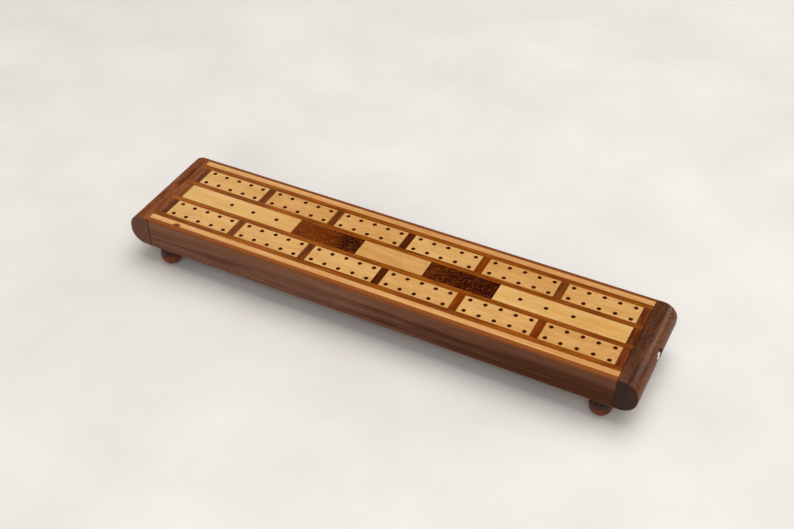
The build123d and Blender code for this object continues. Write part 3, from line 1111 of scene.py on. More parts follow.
@dataclass
class RoundedEnd(Assembly):
    """A block with a bullnose outside, which both ends of the box share.

    Attributes:
        node: The CAD node.
        side: -1 for the left end, 1 for the right end.
        end_flat: Upright flat between the two roundings, millimetres.
        edge_round: Radius of the outlines of the end-grain faces, millimetres.
        arc_steps: Parts of each rounding.
        edge_steps: Parts of each rounding of an outline.
    """

    node: str = "left_end_block"
    side: int = -1
    end_flat: float = 1.9
    edge_round: float = 0.5
    arc_steps: int = 28
    edge_steps: int = 8

    def __post_init__(self) -> None:
        """Take the block's sizes from the frame."""
        low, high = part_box("front_rail")
        self.floor, self.top = low.z, high.z
        self.middle = (self.floor + self.top) / 2
        self.radius = (self.top - self.floor - self.end_flat * MM) / 2
        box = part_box(self.node)
        self.tip = abs(box[0].x if self.side < 0 else box[1].x)
        self.half_width = box[1].y

    def profile(self, start: float) -> tuple[np.ndarray, np.ndarray]:
        """The bullnose's outline from start outwards, with the way it faces at each point.

        Args:
            start: Where the block begins, as a distance from the box's middle.

        Returns:
            Points of distance and height, from the lower to the upper edge, and their normals.
        """
        inner = self.tip - self.radius
        lower = arc((inner, self.floor + self.radius), self.radius, -90, 0, self.arc_steps)
        upper = arc((inner, self.top - self.radius), self.radius, 0, 90, self.arc_steps)
        points = np.concatenate(([(start, self.floor)], lower, upper, [(start, self.top)]))
        down, out, up = (0.0, -1.0), arc((0, 0), 1, -90, 0, self.arc_steps), (0.0, 1.0)
        facing = np.concatenate(([down], out, out[::-1] * (1, -1), [up]))
        return points, facing

    def rows(self, lines: Sequence[float]) -> tuple[np.ndarray, np.ndarray]:
        """The block's rows in Y with each one's inset.

        At an angle a from the end-grain face, the row lies radius times cosine of a beyond the
        rounding's centre, and its outline is drawn in by radius times 1 less sine of a.

        Args:
            lines: Values of Y that are needed between the roundings.

        Returns:
            Y and inset of each row.
        """
        radius = self.edge_round * MM
        turn = np.radians(np.linspace(0, 90, self.edge_steps + 1))
        rounded = self.half_width - radius + radius * np.cos(turn)
        inset = radius * (1 - np.sin(turn))
        y = np.concatenate((-rounded, np.sort(lines), rounded[::-1]))
        return y, np.concatenate((inset, np.zeros(len(lines)), inset[::-1]))

    def bullnose(self, start: float, y: np.ndarray, inset: np.ndarray) -> np.ndarray:
        """The outer surface: each row is the profile, moved inwards by its inset.

        Args:
            start: Where the block begins, as a distance from the box's middle.
            y, inset: The rows.

        Returns:
            Grid of rows by profile points by 3.
        """
        points, facing = self.profile(start)
        drawn = points[None] - inset[:, None, None] * facing[None]
        return np.stack(
            (self.side * drawn[..., 0], np.broadcast_to(y[:, None], drawn.shape[:2]), drawn[..., 1]), axis=-1
        )


@dataclass
class LeftEnd(RoundedEnd):
    """The fixed end, with the tongue that is glued between the rails.

    Attributes:
        tongue_length: Millimetres.
    """

    tongue_length: float = 12.0

    def build(self) -> None:
        """Make the block: bullnose, end-grain faces, and the seam face with its tongue."""
        seam = -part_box("front_rail")[0].x
        tongue_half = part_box("back_rail")[0].y
        tongue_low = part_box("bottom_board")[1].z
        tongue_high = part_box("core_board")[0].z
        y, inset = self.rows((-tongue_half, tongue_half))
        skin = Skin()
        grid = self.bullnose(seam, y, inset)
        skin.add_sheet(grid)
        skin.add_outline(grid[0])
        skin.add_outline(grid[-1])
        levels = np.column_stack(
            (self.floor + inset, np.full_like(y, tongue_low), np.full_like(y, tongue_high), self.top - inset)
        )
        depth = np.zeros((len(y) - 1, 3))
        depth[np.abs(y[:-1] + y[1:]) < tongue_half, 1] = self.tongue_length * MM
        stepped_face(skin, y, levels, depth, -seam)
        low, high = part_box(self.node)
        high = Vector((-seam, high.y, high.z))
        cut = Cut(low, high, grain=Grain.ACROSS, seed=4.0, seam=-seam)
        self.enter(skin.mesh("left_end_walnut"), [self.node], "end_walnut", LEFT_END_WALNUT, cut)


@dataclass
class DrawerFront(RoundedEnd):
    """The drawer's rounded front, with the dish that the pull sits in and pockets behind.

    Attributes:
        pull_offset: Middle of the dish in Y, millimetres.
        recess_radius, recess_depth: Size of the dish, millimetres.
        window_half: Half the square of surface that is worked out round the dish, millimetres.
        window_steps: Parts of the square's side in Y.
        rim_round: How softly the dish's rim is rounded, millimetres.
        rim_band: Half the band of fine rings over the rim, in rim_round.
        rim_search: Where the rim is looked for, in recess_radius.
        halvings: How often that interval is halved.
        bowl_rings, rim_rings, outer_rings: Rings inside, over and outside the rim.
        shank_hole_radius, shank_hole_depth: The pull's hole, millimetres.
        side_pocket, bottom_pocket: Depths of the pockets for the drawer sides and bottom, millimetres.
    """

    body: str = "drawer"
    node: str = "drawer_front"
    side: int = 1
    pull_offset: float = 2.0
    recess_radius: float = 4.3
    recess_depth: float = 2.6
    window_half: float = 5.8
    window_steps: int = 24
    rim_round: float = 0.3
    rim_band: float = 1.4
    rim_search: tuple[float, float] = (0.5, 1.12)
    halvings: int = 40
    bowl_rings: int = 11
    rim_rings: int = 13
    outer_rings: int = 6
    shank_hole_radius: float = 0.95
    shank_hole_depth: float = 4.55
    side_pocket: float = 3.0
    bottom_pocket: float = 1.5

    def nose(self, height: np.ndarray) -> np.ndarray:
        """How far out the bullnose lies at a height, between the two roundings' ends."""
        past = np.clip(np.abs(height - self.middle) - self.end_flat * MM / 2, 0, self.radius)
        return self.tip - self.radius + np.sqrt(self.radius**2 - past**2)

    def bowl(self, beside: np.ndarray) -> np.ndarray:
        """How far out the ball that cuts the dish lies, from the squared distance to its axis."""
        radius, depth = self.recess_radius * MM, self.recess_depth * MM
        ball = (radius**2 + depth**2) / (2 * depth)
        return self.tip - depth + ball - np.sqrt(np.clip(ball**2 - beside, 0, None))

    def dished(self, y: np.ndarray, z: np.ndarray) -> np.ndarray:
        """How far out the surface lies in the window round the dish.

        The dish is a ball's cap, and the surface is the lower of the ball and the bullnose, with the
        rim between them rounded by a smooth minimum.

        Args:
            y, z: The points.

        Returns:
            Their X.
        """
        bowl = self.bowl((y - self.pull_offset * MM) ** 2 + (z - self.middle) ** 2)
        nose = self.nose(z)
        blend = self.rim_round * MM
        near = np.clip(1 - np.abs(bowl - nose) / blend, 0, 1)
        return np.minimum(bowl, nose) - near**2 * blend / 4

    def rim(self, angle: np.ndarray) -> np.ndarray:
        """The rim's distance from the dish's axis at each angle, found by halving the interval."""
        low, high = (np.full_like(angle, share * self.recess_radius * MM) for share in self.rim_search)
        for _ in range(self.halvings):
            middle = (low + high) / 2
            inside = self.bowl(middle**2) < self.nose(self.middle + middle * np.sin(angle))
            low, high = np.where(inside, middle, low), np.where(inside, high, middle)
        return (low + high) / 2

    def dish(self, skin: Skin, border: np.ndarray) -> None:
        """Fill the window with rings that run from the pull's hole over the rim to the border.

        Args:
            skin: Where the surface goes.
            border: The window's border, a closed loop of points of Y and Z.
        """
        centre = np.array((self.pull_offset * MM, self.middle))
        reach = border - centre
        edge = np.hypot(reach[:, 0], reach[:, 1])
        direction = reach / edge[:, None]
        rim = self.rim(np.arctan2(reach[:, 1], reach[:, 0]))
        hole = self.shank_hole_radius * MM
        band = self.rim_band * self.rim_round * MM
        inner = hole + np.linspace(0, 1, self.bowl_rings + 1)[:, None] * (rim - band - hole)
        over = rim - band + np.linspace(0, 1, self.rim_rings + 1)[1:, None] * 2 * band
        outer = rim + band + np.linspace(0, 1, self.outer_rings + 1)[1:, None] * (edge - rim - band)
        distance = np.concatenate((inner, over, outer))
        points = centre + distance[..., None] * direction
        surface = np.concatenate((self.dished(points[..., 0], points[..., 1])[..., None], points), axis=-1)
        bottom = surface[:1].copy()
        bottom[..., 0] = self.tip - (self.recess_depth + self.shank_hole_depth) * MM
        skin.add_sheet(np.concatenate((bottom, surface)), round_it=True)
        skin.add_outline(bottom[0])

    def build(self) -> None:
        """Make the block: bullnose with its window, end-grain faces, dish, and the pocketed back."""
        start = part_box(self.node)[0].x
        side_low, side_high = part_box("drawer_side_back")
        bottom_low, bottom_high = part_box("drawer_bottom")
        pockets = (side_low.y, bottom_high.y, side_high.y)
        middle = self.pull_offset * MM
        window = np.linspace(-1, 1, self.window_steps + 1) * self.window_half * MM + middle
        lines = np.unique(np.round(np.concatenate((np.negative(pockets), pockets, window)), 9))
        y, inset = self.rows(lines)
        grid = self.bullnose(start, y, inset)
        profile = grid[len(grid) // 2]
        half = self.window_half * MM
        rows = np.flatnonzero(np.abs(y - middle) < half + MERGE_DISTANCE)
        columns = np.flatnonzero(
            (np.abs(profile[:, 2] - self.middle) < half) & (profile[:, 0] > start + MM)
        )
        keep = np.ones((len(y) - 1, grid.shape[1] - 1), bool)
        keep[rows[0] : rows[-1], columns[0] : columns[-1]] = False
        skin = Skin()
        skin.add_sheet(grid, keep=keep)
        skin.add_outline(grid[0])
        skin.add_outline(grid[-1])
        inside = grid[rows[0] : rows[-1] + 1, columns[0] : columns[-1] + 1, 1:]
        border = np.concatenate((inside[:-1, 0], inside[-1, :-1], inside[:0:-1, -1], inside[0, :0:-1]))
        self.dish(skin, border)
        self.pocketed_back(skin, y, inset, start)
        low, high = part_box(self.node)
        cut = Cut(
            low, high, grain=Grain.ACROSS, seed=13.0, tone=0.25, tone_end=-0.5, tone_reach=(0.45, 0.85)
        )
        self.enter(skin.mesh("drawer_front_walnut"), [self.node], "end_walnut", RIGHT_END_WALNUT, cut)

    def pocketed_back(self, skin: Skin, y: np.ndarray, inset: np.ndarray, start: float) -> None:
        """Close the back face, with its pockets for the drawer sides and the drawer bottom.

        Args:
            skin: Where the face goes.
            y, inset: The block's rows.
            start: Where the face lies in X.
        """
        side_low, side_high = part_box("drawer_side_back")
        bottom_low, bottom_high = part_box("drawer_bottom")
        inner = (side_low.z, bottom_low.z, bottom_high.z, side_high.z)
        columns = (self.floor + inset, *(np.full_like(y, level) for level in inner), self.top - inset)
        beside = np.abs(y[:-1] + y[1:]) / 2
        depth = np.zeros((len(y) - 1, 5))
        depth[beside < bottom_high.y, 2] = self.bottom_pocket * MM
        depth[(beside > side_low.y) & (beside < side_high.y), 1:4] = self.side_pocket * MM
        stepped_face(skin, y, np.column_stack(columns), depth, start)


@dataclass
class DrilledPlates(Assembly):
    """Flat inlay pieces with peg holes: the tiles and the two outer pieces of the centre strip.

    Attributes:
        hole_radius: Millimetres.
        rim_ease: Radius of the softened edge round each hole, millimetres.
        hole_steps: Parts of a hole's circle, a multiple of four.
        hole_columns: Holes along a tile.
        hole_end_margin: Tile's end to its first holes, millimetres.
        hole_side_margin: Tile's side to its holes, millimetres.
        drill_wander: How far the drill strays from its mark, millimetres.
        game_hole_start: Dark piece to the first game hole, millimetres.
        game_hole_pitch: Millimetres.
        game_holes: Their number in each piece.
        rim_steps: Parts of the softened edge.
        joint: Width of the glue lines, millimetres.
        tone_spread, tone_turn: The tiles' tones differ by the spread times the sine of the turn
            times their seed.
        tone_drift: How much deeper a tile is at its right end.
        paler_tiles, paler_by: The tiles cut from paler wood, and by how much.
    """

    hole_radius: float = 1.0
    rim_ease: float = 0.08
    hole_steps: int = 40
    hole_columns: int = 5
    hole_end_margin: float = 2.9
    hole_side_margin: float = 1.85
    drill_wander: float = 0.22
    game_hole_start: float = 11.2
    game_hole_pitch: float = 12.5
    game_holes: int = 3
    rim_steps: int = 4
    joint: float = 0.12
    tone_spread: float = 0.18
    tone_turn: float = 5.1
    tone_drift: float = 0.06
    paler_tiles: tuple[str, ...] = ("tile_front_1", "tile_front_3")
    paler_by: float = 0.45

    def drilled(self, x: np.ndarray, y: np.ndarray) -> np.ndarray:
        """Where the drill lands: each mark strays by a sine of 1.7 x + 0.9 y and of 2.3 x - 1.1 y.

        Args:
            x, y: The marks, metres.

        Returns:
            Holes as an array that ends in X and Y, metres.
        """
        stray = self.drill_wander * MM
        return np.stack(
            (
                x + stray * np.sin((1.7 * x + 0.9 * y) / MM),
                y + stray * np.sin((2.3 * x - 1.1 * y) / MM),
            ),
            axis=-1,
        )

    def ring(self) -> np.ndarray:
        """Points round a square of half size 1, the same number on each side."""
        side = np.linspace(-1, 1, self.hole_steps // 4, endpoint=False)
        low, high = -np.ones_like(side), np.ones_like(side)
        return np.concatenate(
            (
                np.column_stack((side, low)), np.column_stack((high, side)),
                np.column_stack((-side, high)), np.column_stack((low, -side)),
            )
        )

    def plate(self, name: str, low: Vector, high: Vector, holes: np.ndarray) -> bpy.types.Object:
        """A plate cut into cells, one round each hole.

        In each cell, rings run from the cell's border to the hole's softened rim, down its wall and
        out to the border again along the underside.

        Args:
            name: The piece's name.
            low, high: Its box.
            holes: Columns by rows by 2.

        Returns:
            The piece, with the attribute "bore" on its points.
        """
        x = np.concatenate(([low.x], (holes[1:, 0, 0] + holes[:-1, 0, 0]) / 2, [high.x]))
        y = np.linspace(low.y, high.y, holes.shape[1] + 1)
        centre = np.stack(np.meshgrid((x[1:] + x[:-1]) / 2, (y[1:] + y[:-1]) / 2, indexing="ij"), axis=-1)
        half = np.stack(np.meshgrid(np.diff(x) / 2, np.diff(y) / 2, indexing="ij"), axis=-1)
        square = self.ring()
        border = centre[:, :, None] + square * half[:, :, None]
        round_square = square / np.hypot(square[:, 0], square[:, 1])[:, None]
        radius, ease = self.hole_radius * MM, self.rim_ease * MM
        turn = np.radians(np.linspace(0, 90, self.rim_steps + 1))
        wall = np.concatenate(([radius + 1.2 * ease], radius + ease * (1 - np.sin(turn)), [radius]))
        level = np.concatenate(([high.z], high.z - ease * (1 - np.cos(turn)), [low.z]))
        circles = holes[:, :, None, None] + wall[:, None, None] * round_square
        flat = np.concatenate((border[:, :, None], circles, border[:, :, None]), axis=2)
        heights = np.concatenate(([high.z], level, [low.z]))
        rise = np.broadcast_to(heights[:, None, None], (*flat.shape[:-1], 1))
        cells = np.concatenate((flat, rise), axis=-1)
        skin = Skin()
        skin.add_sheet(cells, round_it=True)
        self._sides(skin, cells)
        piece = skin.mesh(name)
        self._mark_bores(piece, holes.reshape(-1, 2))
        return piece

    def _sides(self, skin: Skin, cells: np.ndarray) -> None:
        """Close the plate's four sides between the outer cells' upper and lower borders."""
        part = self.hole_steps // 4
        loop = np.concatenate((cells, cells[..., :1, :]), axis=-2)[:, :, [0, -1]]
        for number, outer in enumerate((loop[:, 0], loop[-1], loop[:, -1], loop[0])):
            skin.add_sheet(outer[..., number * part : (number + 1) * part + 1, :])

    def _mark_bores(self, piece: bpy.types.Object, holes: np.ndarray) -> None:
        """Set "bore" to 1 in the holes, falling to 0 across their softened rims."""
        points = points_of(piece)
        distance = np.full(len(points), np.inf)
        for hole in holes:
            distance = np.minimum(distance, np.hypot(points[:, 0] - hole[0], points[:, 1] - hole[1]))
        radius, ease = self.hole_radius * MM, self.rim_ease * MM
        bore = np.clip((radius + ease - distance) / (0.9 * ease), 0, 1)
        layer = piece.data.attributes.new("bore", "FLOAT", "POINT")
        layer.data.foreach_set("value", bore.astype(np.float32))

    def tile(self, node: str, seed: float, tone: float) -> None:
        """Make one tile of five columns of two holes."""
        low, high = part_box(node)
        middle = (low.y + high.y) / 2
        offset = (high.y - low.y) / 2 - self.hole_side_margin * MM
        margin = self.hole_end_margin * MM
        columns = np.linspace(low.x + margin, high.x - margin, self.hole_columns)
        marks = np.meshgrid(columns, (middle - offset, middle + offset), indexing="ij")
        piece = self.plate(f"{node}_maple", low, high, self.drilled(*marks))
        cut = Cut(
            low, high, seed=seed, tone=tone, tone_end=tone + self.tone_drift, joint=self.joint, bored=True
        )
        self.enter(piece, [node], "tile_maple", TILE_WOOD, cut)

    def centre(self, node: str, seed: float, side: int) -> None:
        """Make one outer piece of the centre strip, with its row of game holes."""
        low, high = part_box(node)
        near = high.x if side < 0 else low.x
        steps = self.game_hole_start + self.game_hole_pitch * np.arange(self.game_holes)
        columns = np.sort(near + side * steps * MM)
        marks = np.meshgrid(columns, (0.0,), indexing="ij")
        piece = self.plate(f"{node}_wood", low, high, self.drilled(*marks))
        cut = Cut(low, high, seed=seed, tone=-0.1, tone_end=0.1, joint=self.joint, bored=True)
        self.enter(piece, [node], "centre_light_wood", CENTRE_LIGHT_WOOD, cut)

    def build(self) -> None:
        """Make the twelve tiles and both drilled centre pieces."""
        for row, start in zip(ROWS, (1, 7)):
            for number in range(TILES_PER_ROW):
                seed = 1.7 * (start + number)
                name = f"tile_{row}_{number + 1}"
                paler = self.paler_by if name in self.paler_tiles else 0.0
                self.tile(name, seed, self.tone_spread * math.sin(self.tone_turn * seed) - paler)
        self.centre("centre_light_left", 31.0, -1)
        self.centre("centre_light_right", 37.0, 1)


@dataclass
class Inlay(Assembly):
    """The undrilled inlay: its nodes stay, and each gets its own cut of wood.

    Attributes:
        joint: Width of the glue lines, millimetres.
        crosses: The wood of each cross piece, from left to right in each row.
    """

    joint: float = 0.2
    crosses: dict[str, tuple[Wood, ...]] = field(
        default_factory=lambda: {
            "front": (
                CROSS_BROWN_WOOD, CROSS_BROWN_WOOD, CROSS_DARK_WOOD, CROSS_ORANGE_WOOD, CROSS_ORANGE_WOOD,
            ),
            "back": (
                CROSS_BROWN_WOOD, CROSS_BROWN_WOOD, CROSS_DARK_WOOD, CROSS_ORANGE_WOOD, CROSS_BROWN_WOOD,
            ),
        }
    )

    def build(self) -> None:
        """Dress the strips, the cross and end pieces, and the plain centre pieces."""
        self.strips()
        for row, woods in self.crosses.items():
            for number, wood in enumerate(woods, start=1):
                seed = 2.3 * number + len(row)
                self.dress(f"cross_{row}_{number}", wood, grain=Grain.ACROSS, seed=seed, joint=self.joint)
        for seed, place in enumerate((*ROWS, "centre"), start=60):
            shared = {"grain": Grain.ACROSS, "seed": 1.9 * seed, "joint": self.joint}
            tone = -0.8 if place == "centre" else 0.35
            self.dress(f"left_end_light_{place}", LEFT_BAND_WOOD, **shared)
            self.dress(f"left_end_dark_{place}", CROSS_BROWN_WOOD, tone=tone, tone_end=tone, **shared)
            self.dress(f"right_end_{place}", RIGHT_BAND_WOOD, **shared)
        self.dress("centre_light_middle", TILE_WOOD, seed=41.0, tone=0.1, tone_end=0.2, joint=self.joint)
        for end, seed, tone, tone_end, reach in (
            ("left", 43.0, -0.25, 0.5, (0.45, 0.8)), ("right", 47.0, 0.1, 0.6, (0.1, 0.5))
        ):
            self.dress(
                f"centre_dark_{end}", CENTRE_DARK_WOOD, seed=seed, tone=tone, tone_end=tone_end,
                tone_reach=reach, joint=self.joint,
            )

    def strips(self) -> None:
        """Dress the long strips, the front edge strip with its knot."""
        for row, wood, seed, tone, tone_end in (
            ("front", KNOTTED_EDGE_WOOD, 51.0, -0.35, -0.05), ("back", EDGE_LIGHT_WOOD, 53.0, -0.05, 0.0)
        ):
            self.dress(
                f"edge_strip_{row}", wood, seed=seed, tone=tone, tone_end=tone_end, joint=self.joint
            )
        for number, row in enumerate(ROWS):
            for layer, place in enumerate(("outer", "inner")):
                self.dress(
                    f"brown_strip_{row}_{place}", BROWN_STRIP_WOOD, seed=71.0 + 5 * number + 2 * layer,
                    tone=-0.2, tone_end=0.05 if place == "inner" else -0.15, joint=self.joint,
                )


@dataclass
class Feet(Assembly):
    """Four turned ball feet.

    Attributes:
        ball_flat: What is cut off the ball, for it to stand, millimetres.
        neck_radius, collar_radius: Millimetres.
        collar_flare: Height over which the neck widens into the collar, millimetres.
        collar_height: Of the collar's upright edge, millimetres.
        fillet: How softly the ball runs into the neck, millimetres.
        steps: Parts of the turn.
        lower_steps, upper_steps: Parts of the profile below and above the ball's middle.
    """

    ball_flat: float = 0.25
    neck_radius: float = 4.5
    collar_radius: float = 5.3
    collar_flare: float = 1.4
    collar_height: float = 0.8
    fillet: float = 0.5
    steps: int = 72
    lower_steps: int = 21
    upper_steps: int = 43

    def profile(self, ball: float, top: float) -> np.ndarray:
        """Radius against height, from the flat below to the collar's top.

        The neck swells to the collar's radius by a smooth step, and the ball's half chord joins the
        neck by a smooth maximum.

        Args:
            ball: The ball's radius, metres.
            top: Height of the case's floor, metres.

        Returns:
            Points of radius and height.
        """
        centre = ball - self.ball_flat * MM
        swing = np.linspace(-math.asin(centre / ball), 0, self.lower_steps + 1)
        lower = np.column_stack((ball * np.cos(swing), centre + ball * np.sin(swing)))
        height = np.linspace(centre, top, self.upper_steps + 1)[1:]
        chord = np.sqrt(np.clip(ball**2 - (height - centre) ** 2, 0, None))
        flare_base = top - (self.collar_height + self.collar_flare) * MM
        swell = np.clip((height - flare_base) / (self.collar_flare * MM), 0, 1)
        neck = self.neck_radius + (self.collar_radius - self.neck_radius) * swell**2 * (3 - 2 * swell)
        soft = self.fillet * MM
        near = np.clip(1 - np.abs(chord - neck * MM) / soft, 0, 1)
        radius = np.maximum(chord, neck * MM) + near**2 * soft / 4
        return np.concatenate(([(0, 0)], lower, np.column_stack((radius, height)), [(0, top)]))

    def build(self) -> None:
        """Make the feet where the frame has them."""
        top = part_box("front_rail")[0].z
        for number, name in enumerate(f"{end}_{row}" for end in ENDS for row in ROWS):
            node = f"foot_{name}"
            low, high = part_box(node)
            ball = (high.x - low.x) / 2
            skin = Skin()
            foot = Vector(((low.x + high.x) / 2, (low.y + high.y) / 2, low.z))
            turned(skin, self.profile(ball, top), foot, along_x=False, steps=self.steps)
            cut = Cut(low, Vector((high.x, high.y, top)), grain=Grain.UPRIGHT, seed=91.0 + 3 * number)
            self.enter(skin.mesh(f"ball_foot_{name}"), [node], "foot_wood", FOOT_WOOD, cut)


@dataclass
class DrawerBox(Assembly):
    """The drawer's sides, back and bottom.

    Attributes:
        edge_ease: Radius of the softened upper edges, millimetres.
        arc_steps: Parts of each softened edge.
    """

    body: str = "drawer"
    edge_ease: float = 0.35
    arc_steps: int = 5

    def side_section(self, side: int) -> np.ndarray:
        """A drawer side's outline, with its groove for the bottom.

        Args:
            side: -1 for the front side, 1 for the back one.

        Returns:
            Points of Y and Z.
        """
        low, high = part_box("drawer_side_back")
        bottom_low, bottom_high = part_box("drawer_bottom")
        ease = self.edge_ease * MM
        outline = np.concatenate(
            (
                [(low.y, low.z), (high.y, low.z)],
                arc((high.y - ease, high.z - ease), ease, 0, 90, self.arc_steps),
                arc((low.y + ease, high.z - ease), ease, 90, 180, self.arc_steps),
                [
                    (low.y, bottom_high.z), (bottom_high.y, bottom_high.z),
                    (bottom_high.y, bottom_low.z), (low.y, bottom_low.z),
                ],
            )
        )
        return outline * (side, 1)

    def back_section(self) -> np.ndarray:
        """The drawer back's outline, softened above, as points of X and Z."""
        low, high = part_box("drawer_back")
        ease = self.edge_ease * MM
        return np.concatenate(
            (
                [(low.x, low.z), (high.x, low.z)],
                arc((high.x - ease, high.z - ease), ease, 0, 90, self.arc_steps),
                arc((low.x + ease, high.z - ease), ease, 90, 180, self.arc_steps),
            )
        )

    def build(self) -> None:
        """Make the sides and the back, and dress the bottom."""
        for row, side, seed in (("front", -1, 101.0), ("back", 1, 103.0)):
            node = f"drawer_side_{row}"
            low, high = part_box(node)
            piece = extruded(f"{node}_board", self.side_section(side), low.x, high.x)
            self.enter(piece, [node], "inner_wood", INNER_WOOD, Cut(low, high, seed=seed))
        low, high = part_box("drawer_back")
        piece = extruded("drawer_back_board", self.back_section(), low.y, high.y, axis=1)
        cut = Cut(low, high, grain=Grain.ACROSS, seed=107.0)
        self.enter(piece, ["drawer_back"], "inner_wood", INNER_WOOD, cut)
        self.dress("drawer_bottom", INNER_WOOD, seed=109.0, tone=0.1, tone_end=0.1)


@dataclass
class Pull(Assembly):
    """The small round pull, slightly domed.

    Attributes:
        head_radius, head_thickness, head_round: Millimetres.
        dome: How much the face rises to its middle, millimetres.
        shank_radius: Millimetres.
        steps: Parts of the turn.
        dome_steps, edge_steps: Parts of the dome and of each rounding in the profile.
    """

    body: str = "drawer"
    head_radius: float = 2.0
    head_thickness: float = 1.2
    head_round: float = 0.35
    dome: float = 0.18
    shank_radius: float = 0.9
    steps: int = 64
    dome_steps: int = 8
    edge_steps: int = 6

    def build(self) -> None:
        """Turn the pull along X: shank, head, rounded edge and a shallow dome."""
        low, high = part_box("drawer_pull")
        length = high.x - low.x
        head, thick = self.head_radius * MM, self.head_thickness * MM
        edge, dome, shank = self.head_round * MM, self.dome * MM, self.shank_radius * MM
        brow = length - dome
        share = np.linspace(1, 0, self.dome_steps + 1)
        face = np.column_stack((share * (head - edge), length - dome * share**2))
        profile = np.concatenate(
            (
                [(0, 0), (shank, 0), (shank, length - thick)],
                arc((head - edge, length - thick + edge), edge, -90, 0, self.edge_steps),
                arc((head - edge, brow - edge), edge, 0, 90, self.edge_steps),
                face[1:],
            )
        )
        skin = Skin()
        foot = Vector((low.x, (low.y + high.y) / 2, (low.z + high.z) / 2))
        turned(skin, profile, foot, along_x=True, steps=self.steps)
        self.enter(skin.mesh("pull_knob"), ["drawer_pull"], "pull_metal", PULL_NICKEL, Cut(low, high))


@dataclass
class Pegs(Assembly):
    """Two light and two dark pegs that lie in the drawer.

    Attributes:
        point_radius, point_length, tip_radius, tip_round: Millimetres.
        body_radius, neck_length, neck_radius: Millimetres.
        head_radius, head_length: Millimetres.
        length: Of a whole peg, millimetres.
        steps: Parts of the turn.
        tip_steps, neck_steps, head_steps: Parts of the profile.
    """

    body: str = "drawer"
    point_radius: float = 0.6
    point_length: float = 0.5
    tip_radius: float = 0.85
    tip_round: float = 0.3
    body_radius: float = 1.2
    neck_length: float = 1.2
    neck_radius: float = 0.8
    head_radius: float = 1.45
    head_length: float = 3.4
    length: float = 26.0
    steps: int = 40
    tip_steps: int = 4
    neck_steps: int = 8
    head_steps: int = 18

    def profile(self) -> np.ndarray:
        """Radius against length, from the point to the head's end, metres."""
        head_start = self.length - self.head_length
        shoulder = head_start - self.neck_length
        sweep = np.linspace(0, 1, self.neck_steps + 1)
        waist = self.body_radius + (self.neck_radius - self.body_radius) * np.sin(sweep * np.pi / 2) ** 2
        neck = np.column_stack((waist, shoulder + sweep * self.neck_length))
        around = np.linspace(0, np.pi, self.head_steps + 1)[1:]
        bulge = self.neck_radius + (self.head_radius - self.neck_radius) * np.sin(around)
        head = np.column_stack((bulge, head_start + (1 - np.cos(around)) * self.head_length / 2))
        middle = (self.tip_radius - self.tip_round, self.point_length)
        tip = arc(middle, self.tip_round, -60, 0, self.tip_steps)
        return MM * np.concatenate(([(0, 0), (self.point_radius, 0)], tip, neck, head, [(0, self.length)]))

    def build(self) -> None:
        """Turn both pairs where the frame has them."""
        for tint, wood, seed in (("light", PEG_LIGHT_WOOD, 111.0), ("dark", PEG_DARK_WOOD, 113.0)):
            node = f"pegs_{tint}"
            low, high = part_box(node)
            swell = self.head_radius * MM
            stagger = high.x - low.x - self.length * MM
            skin = Skin()
            for y, x in ((low.y + swell, low.x + stagger), (high.y - swell, low.x)):
                turned(skin, self.profile(), Vector((x, y, low.z + swell)), along_x=True, steps=self.steps)
            cut = Cut(low, high, seed=seed)
            self.enter(skin.mesh(f"turned_{node}"), [node], f"peg_{tint}_wood", wood, cut)


@dataclass
class Boards(Assembly):
    """The core board under the inlay and the bottom board."""

    def build(self) -> None:
        """Dress both boards."""
        self.dress("core_board", BOARD_WOOD, seed=121.0)
        self.dress("bottom_board", BOARD_WOOD, seed=123.0)


# ---------------------------------------------------------------------------------------------
# Floor, light and camera
# ---------------------------------------------------------------------------------------------


@dataclass(frozen=True)
class Lamp:
    """A square soft light that faces the box.

    Attributes:
        name: The lamp's name.
        place: Where it hangs, metres.
        size: Its side, metres.
        power: Watts.
    """

    name: str
    place: tuple[float, float, float]
    size: float
    power: float

    def hang(self, aim: Vector) -> None:
        """Hang the light, turned to where the camera looks."""
        light = bpy.data.lights.new(self.name, "AREA")
        light.shape = "SQUARE"
        light.size = self.size
        light.energy = self.power
        lamp = bpy.data.objects.new(self.name, light)
        lamp.location = self.place
        lamp.rotation_mode = "QUATERNION"
        lamp.rotation_quaternion = (aim - Vector(self.place)).to_track_quat("-Z", "Y")
        bpy.context.scene.collection.objects.link(lamp)


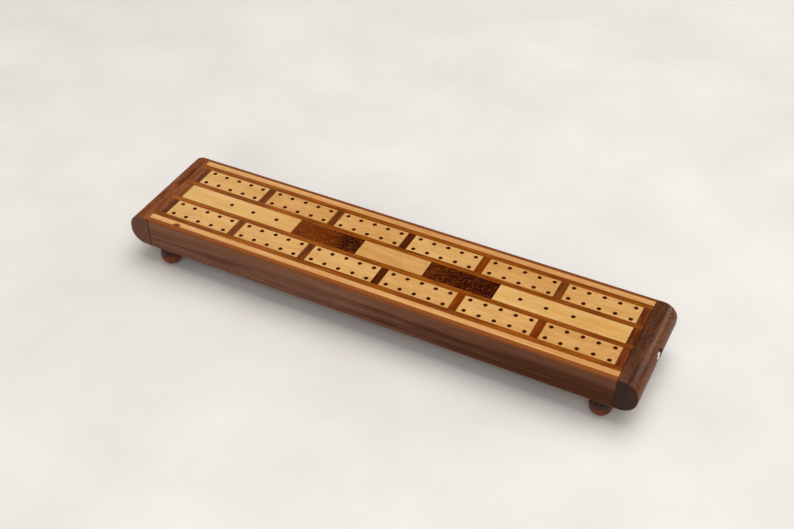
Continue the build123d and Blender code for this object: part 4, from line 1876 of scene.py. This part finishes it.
@dataclass
class Studio:
    """A plain pale floor, soft light mostly from above, and the photograph's camera.

    Attributes:
        aim: Where the camera looks, metres.
        distance: From the camera to there, metres.
        azimuth, elevation: Of the camera, degrees.
        lens, sensor: Millimetres.
        near, far: What the camera sees between, metres.
        floor_half: Half the floor, metres.
        floor_colour, floor_cloud: Its colour, and that of its paler clouds.
        cloud_size: Period of the clouds, metres.
        lamps: A broad key above, three windows further off, and a fill from the front.
        sky, sky_colour: Strength and colour of the light from all round.
    """

    aim: Vector = field(default_factory=lambda: Vector((0.0046, -0.0033, 0.027)))
    distance: float = 0.5343
    azimuth: float = 26.92
    elevation: float = 40.38
    lens: float = 53.25
    sensor: float = 36.0
    near: float = 0.01
    far: float = 20.0
    floor_half: float = 3.0
    floor_colour: Colour = rgb(228, 223, 217)
    floor_cloud: Colour = rgb(237, 233, 227)
    cloud_size: float = 0.05
    lamps: tuple[Lamp, ...] = (
        Lamp("key_light", place=(0.2, 0.25, 1.5), size=1.4, power=20.3),
        Lamp("left_window", place=(-1.45, 1.55, 1.5), size=0.6, power=0.5),
        Lamp("right_window", place=(1.25, 1.5, 0.75), size=0.7, power=6.0),
        Lamp("side_window", place=(-1.5, -0.6, 0.75), size=0.5, power=2.6),
        Lamp("fill_light", place=(0.5, -1.25, 1.0), size=1.3, power=9.5),
    )
    sky: float = 0.16
    sky_colour: Colour = (1.0, 0.985, 0.965, 1.0)

    def floor(self) -> None:
        """Lay the floor, a little uneven in tone."""
        corners = self.floor_half * np.array([(-1, -1, 0), (1, -1, 0), (1, 1, 0), (-1, 1, 0)])
        data = bpy.data.meshes.new("floor")
        data.from_pydata(corners, [], [range(len(corners))])
        plane = bpy.data.objects.new("floor", data)
        bpy.context.scene.collection.objects.link(plane)
        graph = Graph("pale_floor")
        cloud = graph.noise(graph.place(), Vector.Fill(3, self.cloud_size), 3.0, detail=4.0)
        colour = graph.mix(graph.scale(cloud, 0.3, 0.7, 0.0, 1.0), self.floor_colour, self.floor_cloud)
        data.materials.append(graph.surface({"Base Color": colour, "Roughness": 0.55, "IOR": 1.35}))

    def lights(self) -> None:
        """Hang every lamp, and let the sky shine."""
        for lamp in self.lamps:
            lamp.hang(self.aim)
        world = bpy.data.worlds.new("studio")
        bpy.context.scene.world = world
        world.use_nodes = True
        background = world.node_tree.nodes["Background"]
        background.inputs["Color"].default_value = self.sky_colour
        background.inputs["Strength"].default_value = self.sky

    def camera(self) -> None:
        """Place the camera at the photograph's angle."""
        turn, rise = math.radians(self.azimuth), math.radians(self.elevation)
        back = Vector(
            (math.sin(turn) * math.cos(rise), -math.cos(turn) * math.cos(rise), math.sin(rise))
        )
        data = bpy.data.cameras.new("camera")
        data.lens = self.lens
        data.sensor_width = self.sensor
        data.clip_start = self.near
        data.clip_end = self.far
        camera = bpy.data.objects.new("camera", data)
        camera.location = self.aim + back * self.distance
        camera.rotation_mode = "QUATERNION"
        camera.rotation_quaternion = (-back).to_track_quat("-Z", "Y")
        bpy.context.scene.collection.objects.link(camera)
        bpy.context.scene.camera = camera
        bpy.context.scene.view_settings.view_transform = "Standard"

    def build(self) -> None:
        """Set up floor, lights and camera."""
        self.camera()
        self.floor()
        self.lights()


def main() -> None:
    """Build every sub-assembly in order."""
    logging.basicConfig(level=logging.INFO, format="%(name)s: %(message)s")
    steps: tuple[tuple[str, Callable[[], None]], ...] = (
        ("studio", Studio().build),
        ("rails", Rails().build),
        ("left end", LeftEnd().build),
        ("drilled plates", DrilledPlates().build),
        ("inlay", Inlay().build),
        ("boards", Boards().build),
        ("feet", Feet().build),
        ("drawer front", DrawerFront().build),
        ("drawer box", DrawerBox().build),
        ("pull", Pull().build),
        ("pegs", Pegs().build),
    )
    for name, build in steps:
        build()
        log.info("%s done", name)
    bpy.context.view_layer.update()


if __name__ == "__main__":
    main()
